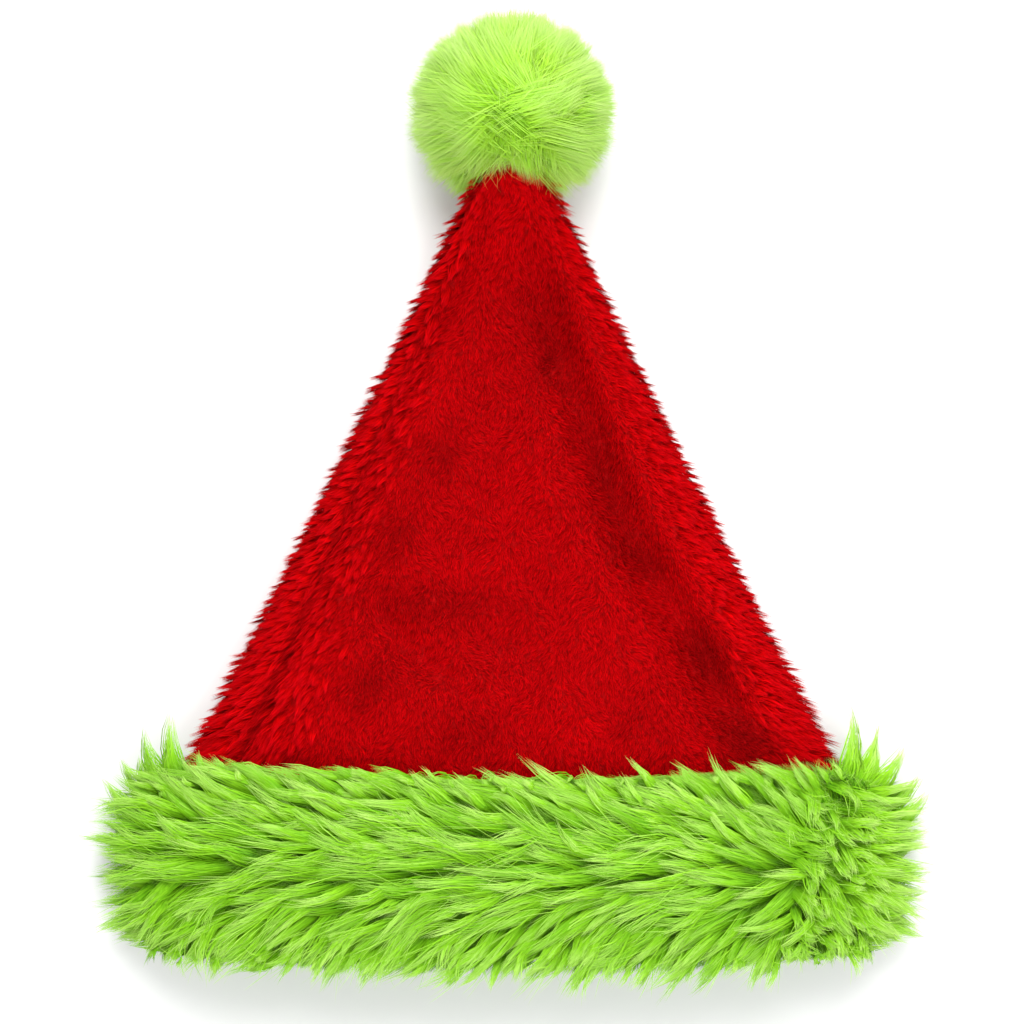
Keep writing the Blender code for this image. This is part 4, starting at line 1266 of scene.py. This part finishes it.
def grow_pompom(fur, tufts, astray, chance):
    """Hairs from the core, gathered in tufts and leaning away from the whorl."""
    # lighter towards +y and darker towards the crown: painted light on the side facing the key lamp,
    # painted shade on the other
    tone = 0.58 + 0.18 * tufts[:, 1] + chance.normal(0, 0.16, len(tufts))
    away = from_whorl(tufts) / WHORL_BREADTH
    lean = POMPOM_LEAN + WHORL_LEAN * away * np.exp(1 - away)
    lean = lean * chance.uniform(0.75, 1.25, len(tufts))
    reach = POMPOM_DIAMETER / 2 * chance.uniform(1.00, 1.05, len(tufts))
    repeat = np.repeat(np.arange(len(tufts)), POMPOM_HAIRS)
    count = len(repeat)
    offset = chance.normal(0, 0.10, (count, 3))
    centre = tufts[repeat]
    root = unit(centre + offset)
    lines = []
    length = 1.07 - 0.19 * chance.uniform(0, 1, count) ** 0.65
    for share in np.linspace(0.0, 1.0, fur.stops):
        drawn = POMPOM_GATHER * share
        aim = unit(root * (1 - drawn) + centre * drawn + astray[repeat] * share)
        direction = turned_away(aim, WHORL_DIRECTION, lean[repeat] * share**1.2)
        distance = ROOT_RADIUS + (reach[repeat] * length - ROOT_RADIUS) * share**0.9
        line = direction * distance[:, None]
        line[:, 1] -= POMPOM_SAG * share
        lines.append(line)
    lines = np.stack(lines, axis=1) * np.array((POMPOM_BREADTH, 1.0, 1.0)) + POMPOM_CENTRE
    lines = kept_off_tip(lines, chance)
    normal = unit(lines[:, -1] - POMPOM_CENTRE)
    shades = tone[repeat] + chance.normal(0, 0.13, count)
    widths = POMPOM_HAIR_WIDTH * chance.uniform(0.65, 1.2, count)
    fur.add(lines, normal, widths, shades, chance, facing=normal + 2.4 * offset)


def build_pompom():
    core = build_pompom_core()
    dress(core)
    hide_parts("pompom")
    chance = np.random.default_rng(31)
    fur = Fur(POMPOM_STOPS)
    grow_pompom(fur, *pompom_tufts(chance), chance)
    over_tip(fur, TIP_HAIRS[0], chance)
    wisps = Fur(6)
    over_tip(wisps, TIP_HAIRS[1], chance)
    dress(fur.piece("pompom_fur", POMPOM_HAIR))
    dress(wisps.piece("pompom_wisps", POMPOM_HAIR))


# Floor, light and camera

VIEW_WIDTH = 0.430  # of the photo's frame at the hat's height
VIEW_HEIGHT = 0.030  # that height
LENS = 100.0
SENSOR = 36.0


def build_floor():
    mesh = bpy.data.meshes.new("floor")
    size = 4.0
    corners = [(-size, -size, 0), (size, -size, 0), (size, size, 0), (-size, size, 0)]
    mesh.from_pydata(corners, [], [(0, 1, 2, 3)])
    floor = placed("floor", mesh)
    pale = Nodes("pale_floor")
    fill(pale.shader, {"Base Color": (0.90, 0.90, 0.90, 1.0), "Roughness": 0.9})
    mesh.materials.append(pale.material)


def add_lamp(name, place, size, power):
    lamp = bpy.data.lights.new(name, "AREA")
    lamp.shape = "DISK"
    lamp.size = size
    lamp.energy = power
    made = placed(name, lamp)
    made.location = place
    aim = Vector((0.0, 0.0, 0.02)) - made.location
    made.rotation_mode = "QUATERNION"
    made.rotation_quaternion = aim.to_track_quat("-Z", "Y")


def build_light():
    world = bpy.data.worlds.new("studio")
    world.use_nodes = True
    background = world.node_tree.nodes["Background"]
    fill(background, {"Color": (1.0, 1.0, 1.0, 1.0), "Strength": 0.86})
    bpy.context.scene.world = world
    bpy.context.scene.view_settings.view_transform = "Standard"
    add_lamp("key", (0.05, 0.8, 1.4), 0.9, 19.0)
    add_lamp("fill", (0.5, -0.5, 1.4), 1.0, 6.0)


def build_camera():
    lens = bpy.data.cameras.new("camera")
    lens.lens = LENS
    lens.sensor_width = SENSOR
    camera = placed("camera", lens)
    centre_y = 0.112 + SHIFT[1]
    distance = VIEW_WIDTH * LENS / SENSOR
    camera.location = (SHIFT[0], centre_y, VIEW_HEIGHT + distance)
    lens.clip_start = 0.01
    lens.clip_end = 20.0
    bpy.context.scene.camera = camera


build_camera()
build_floor()
build_light()
build_crown()
build_band()
build_pompom()
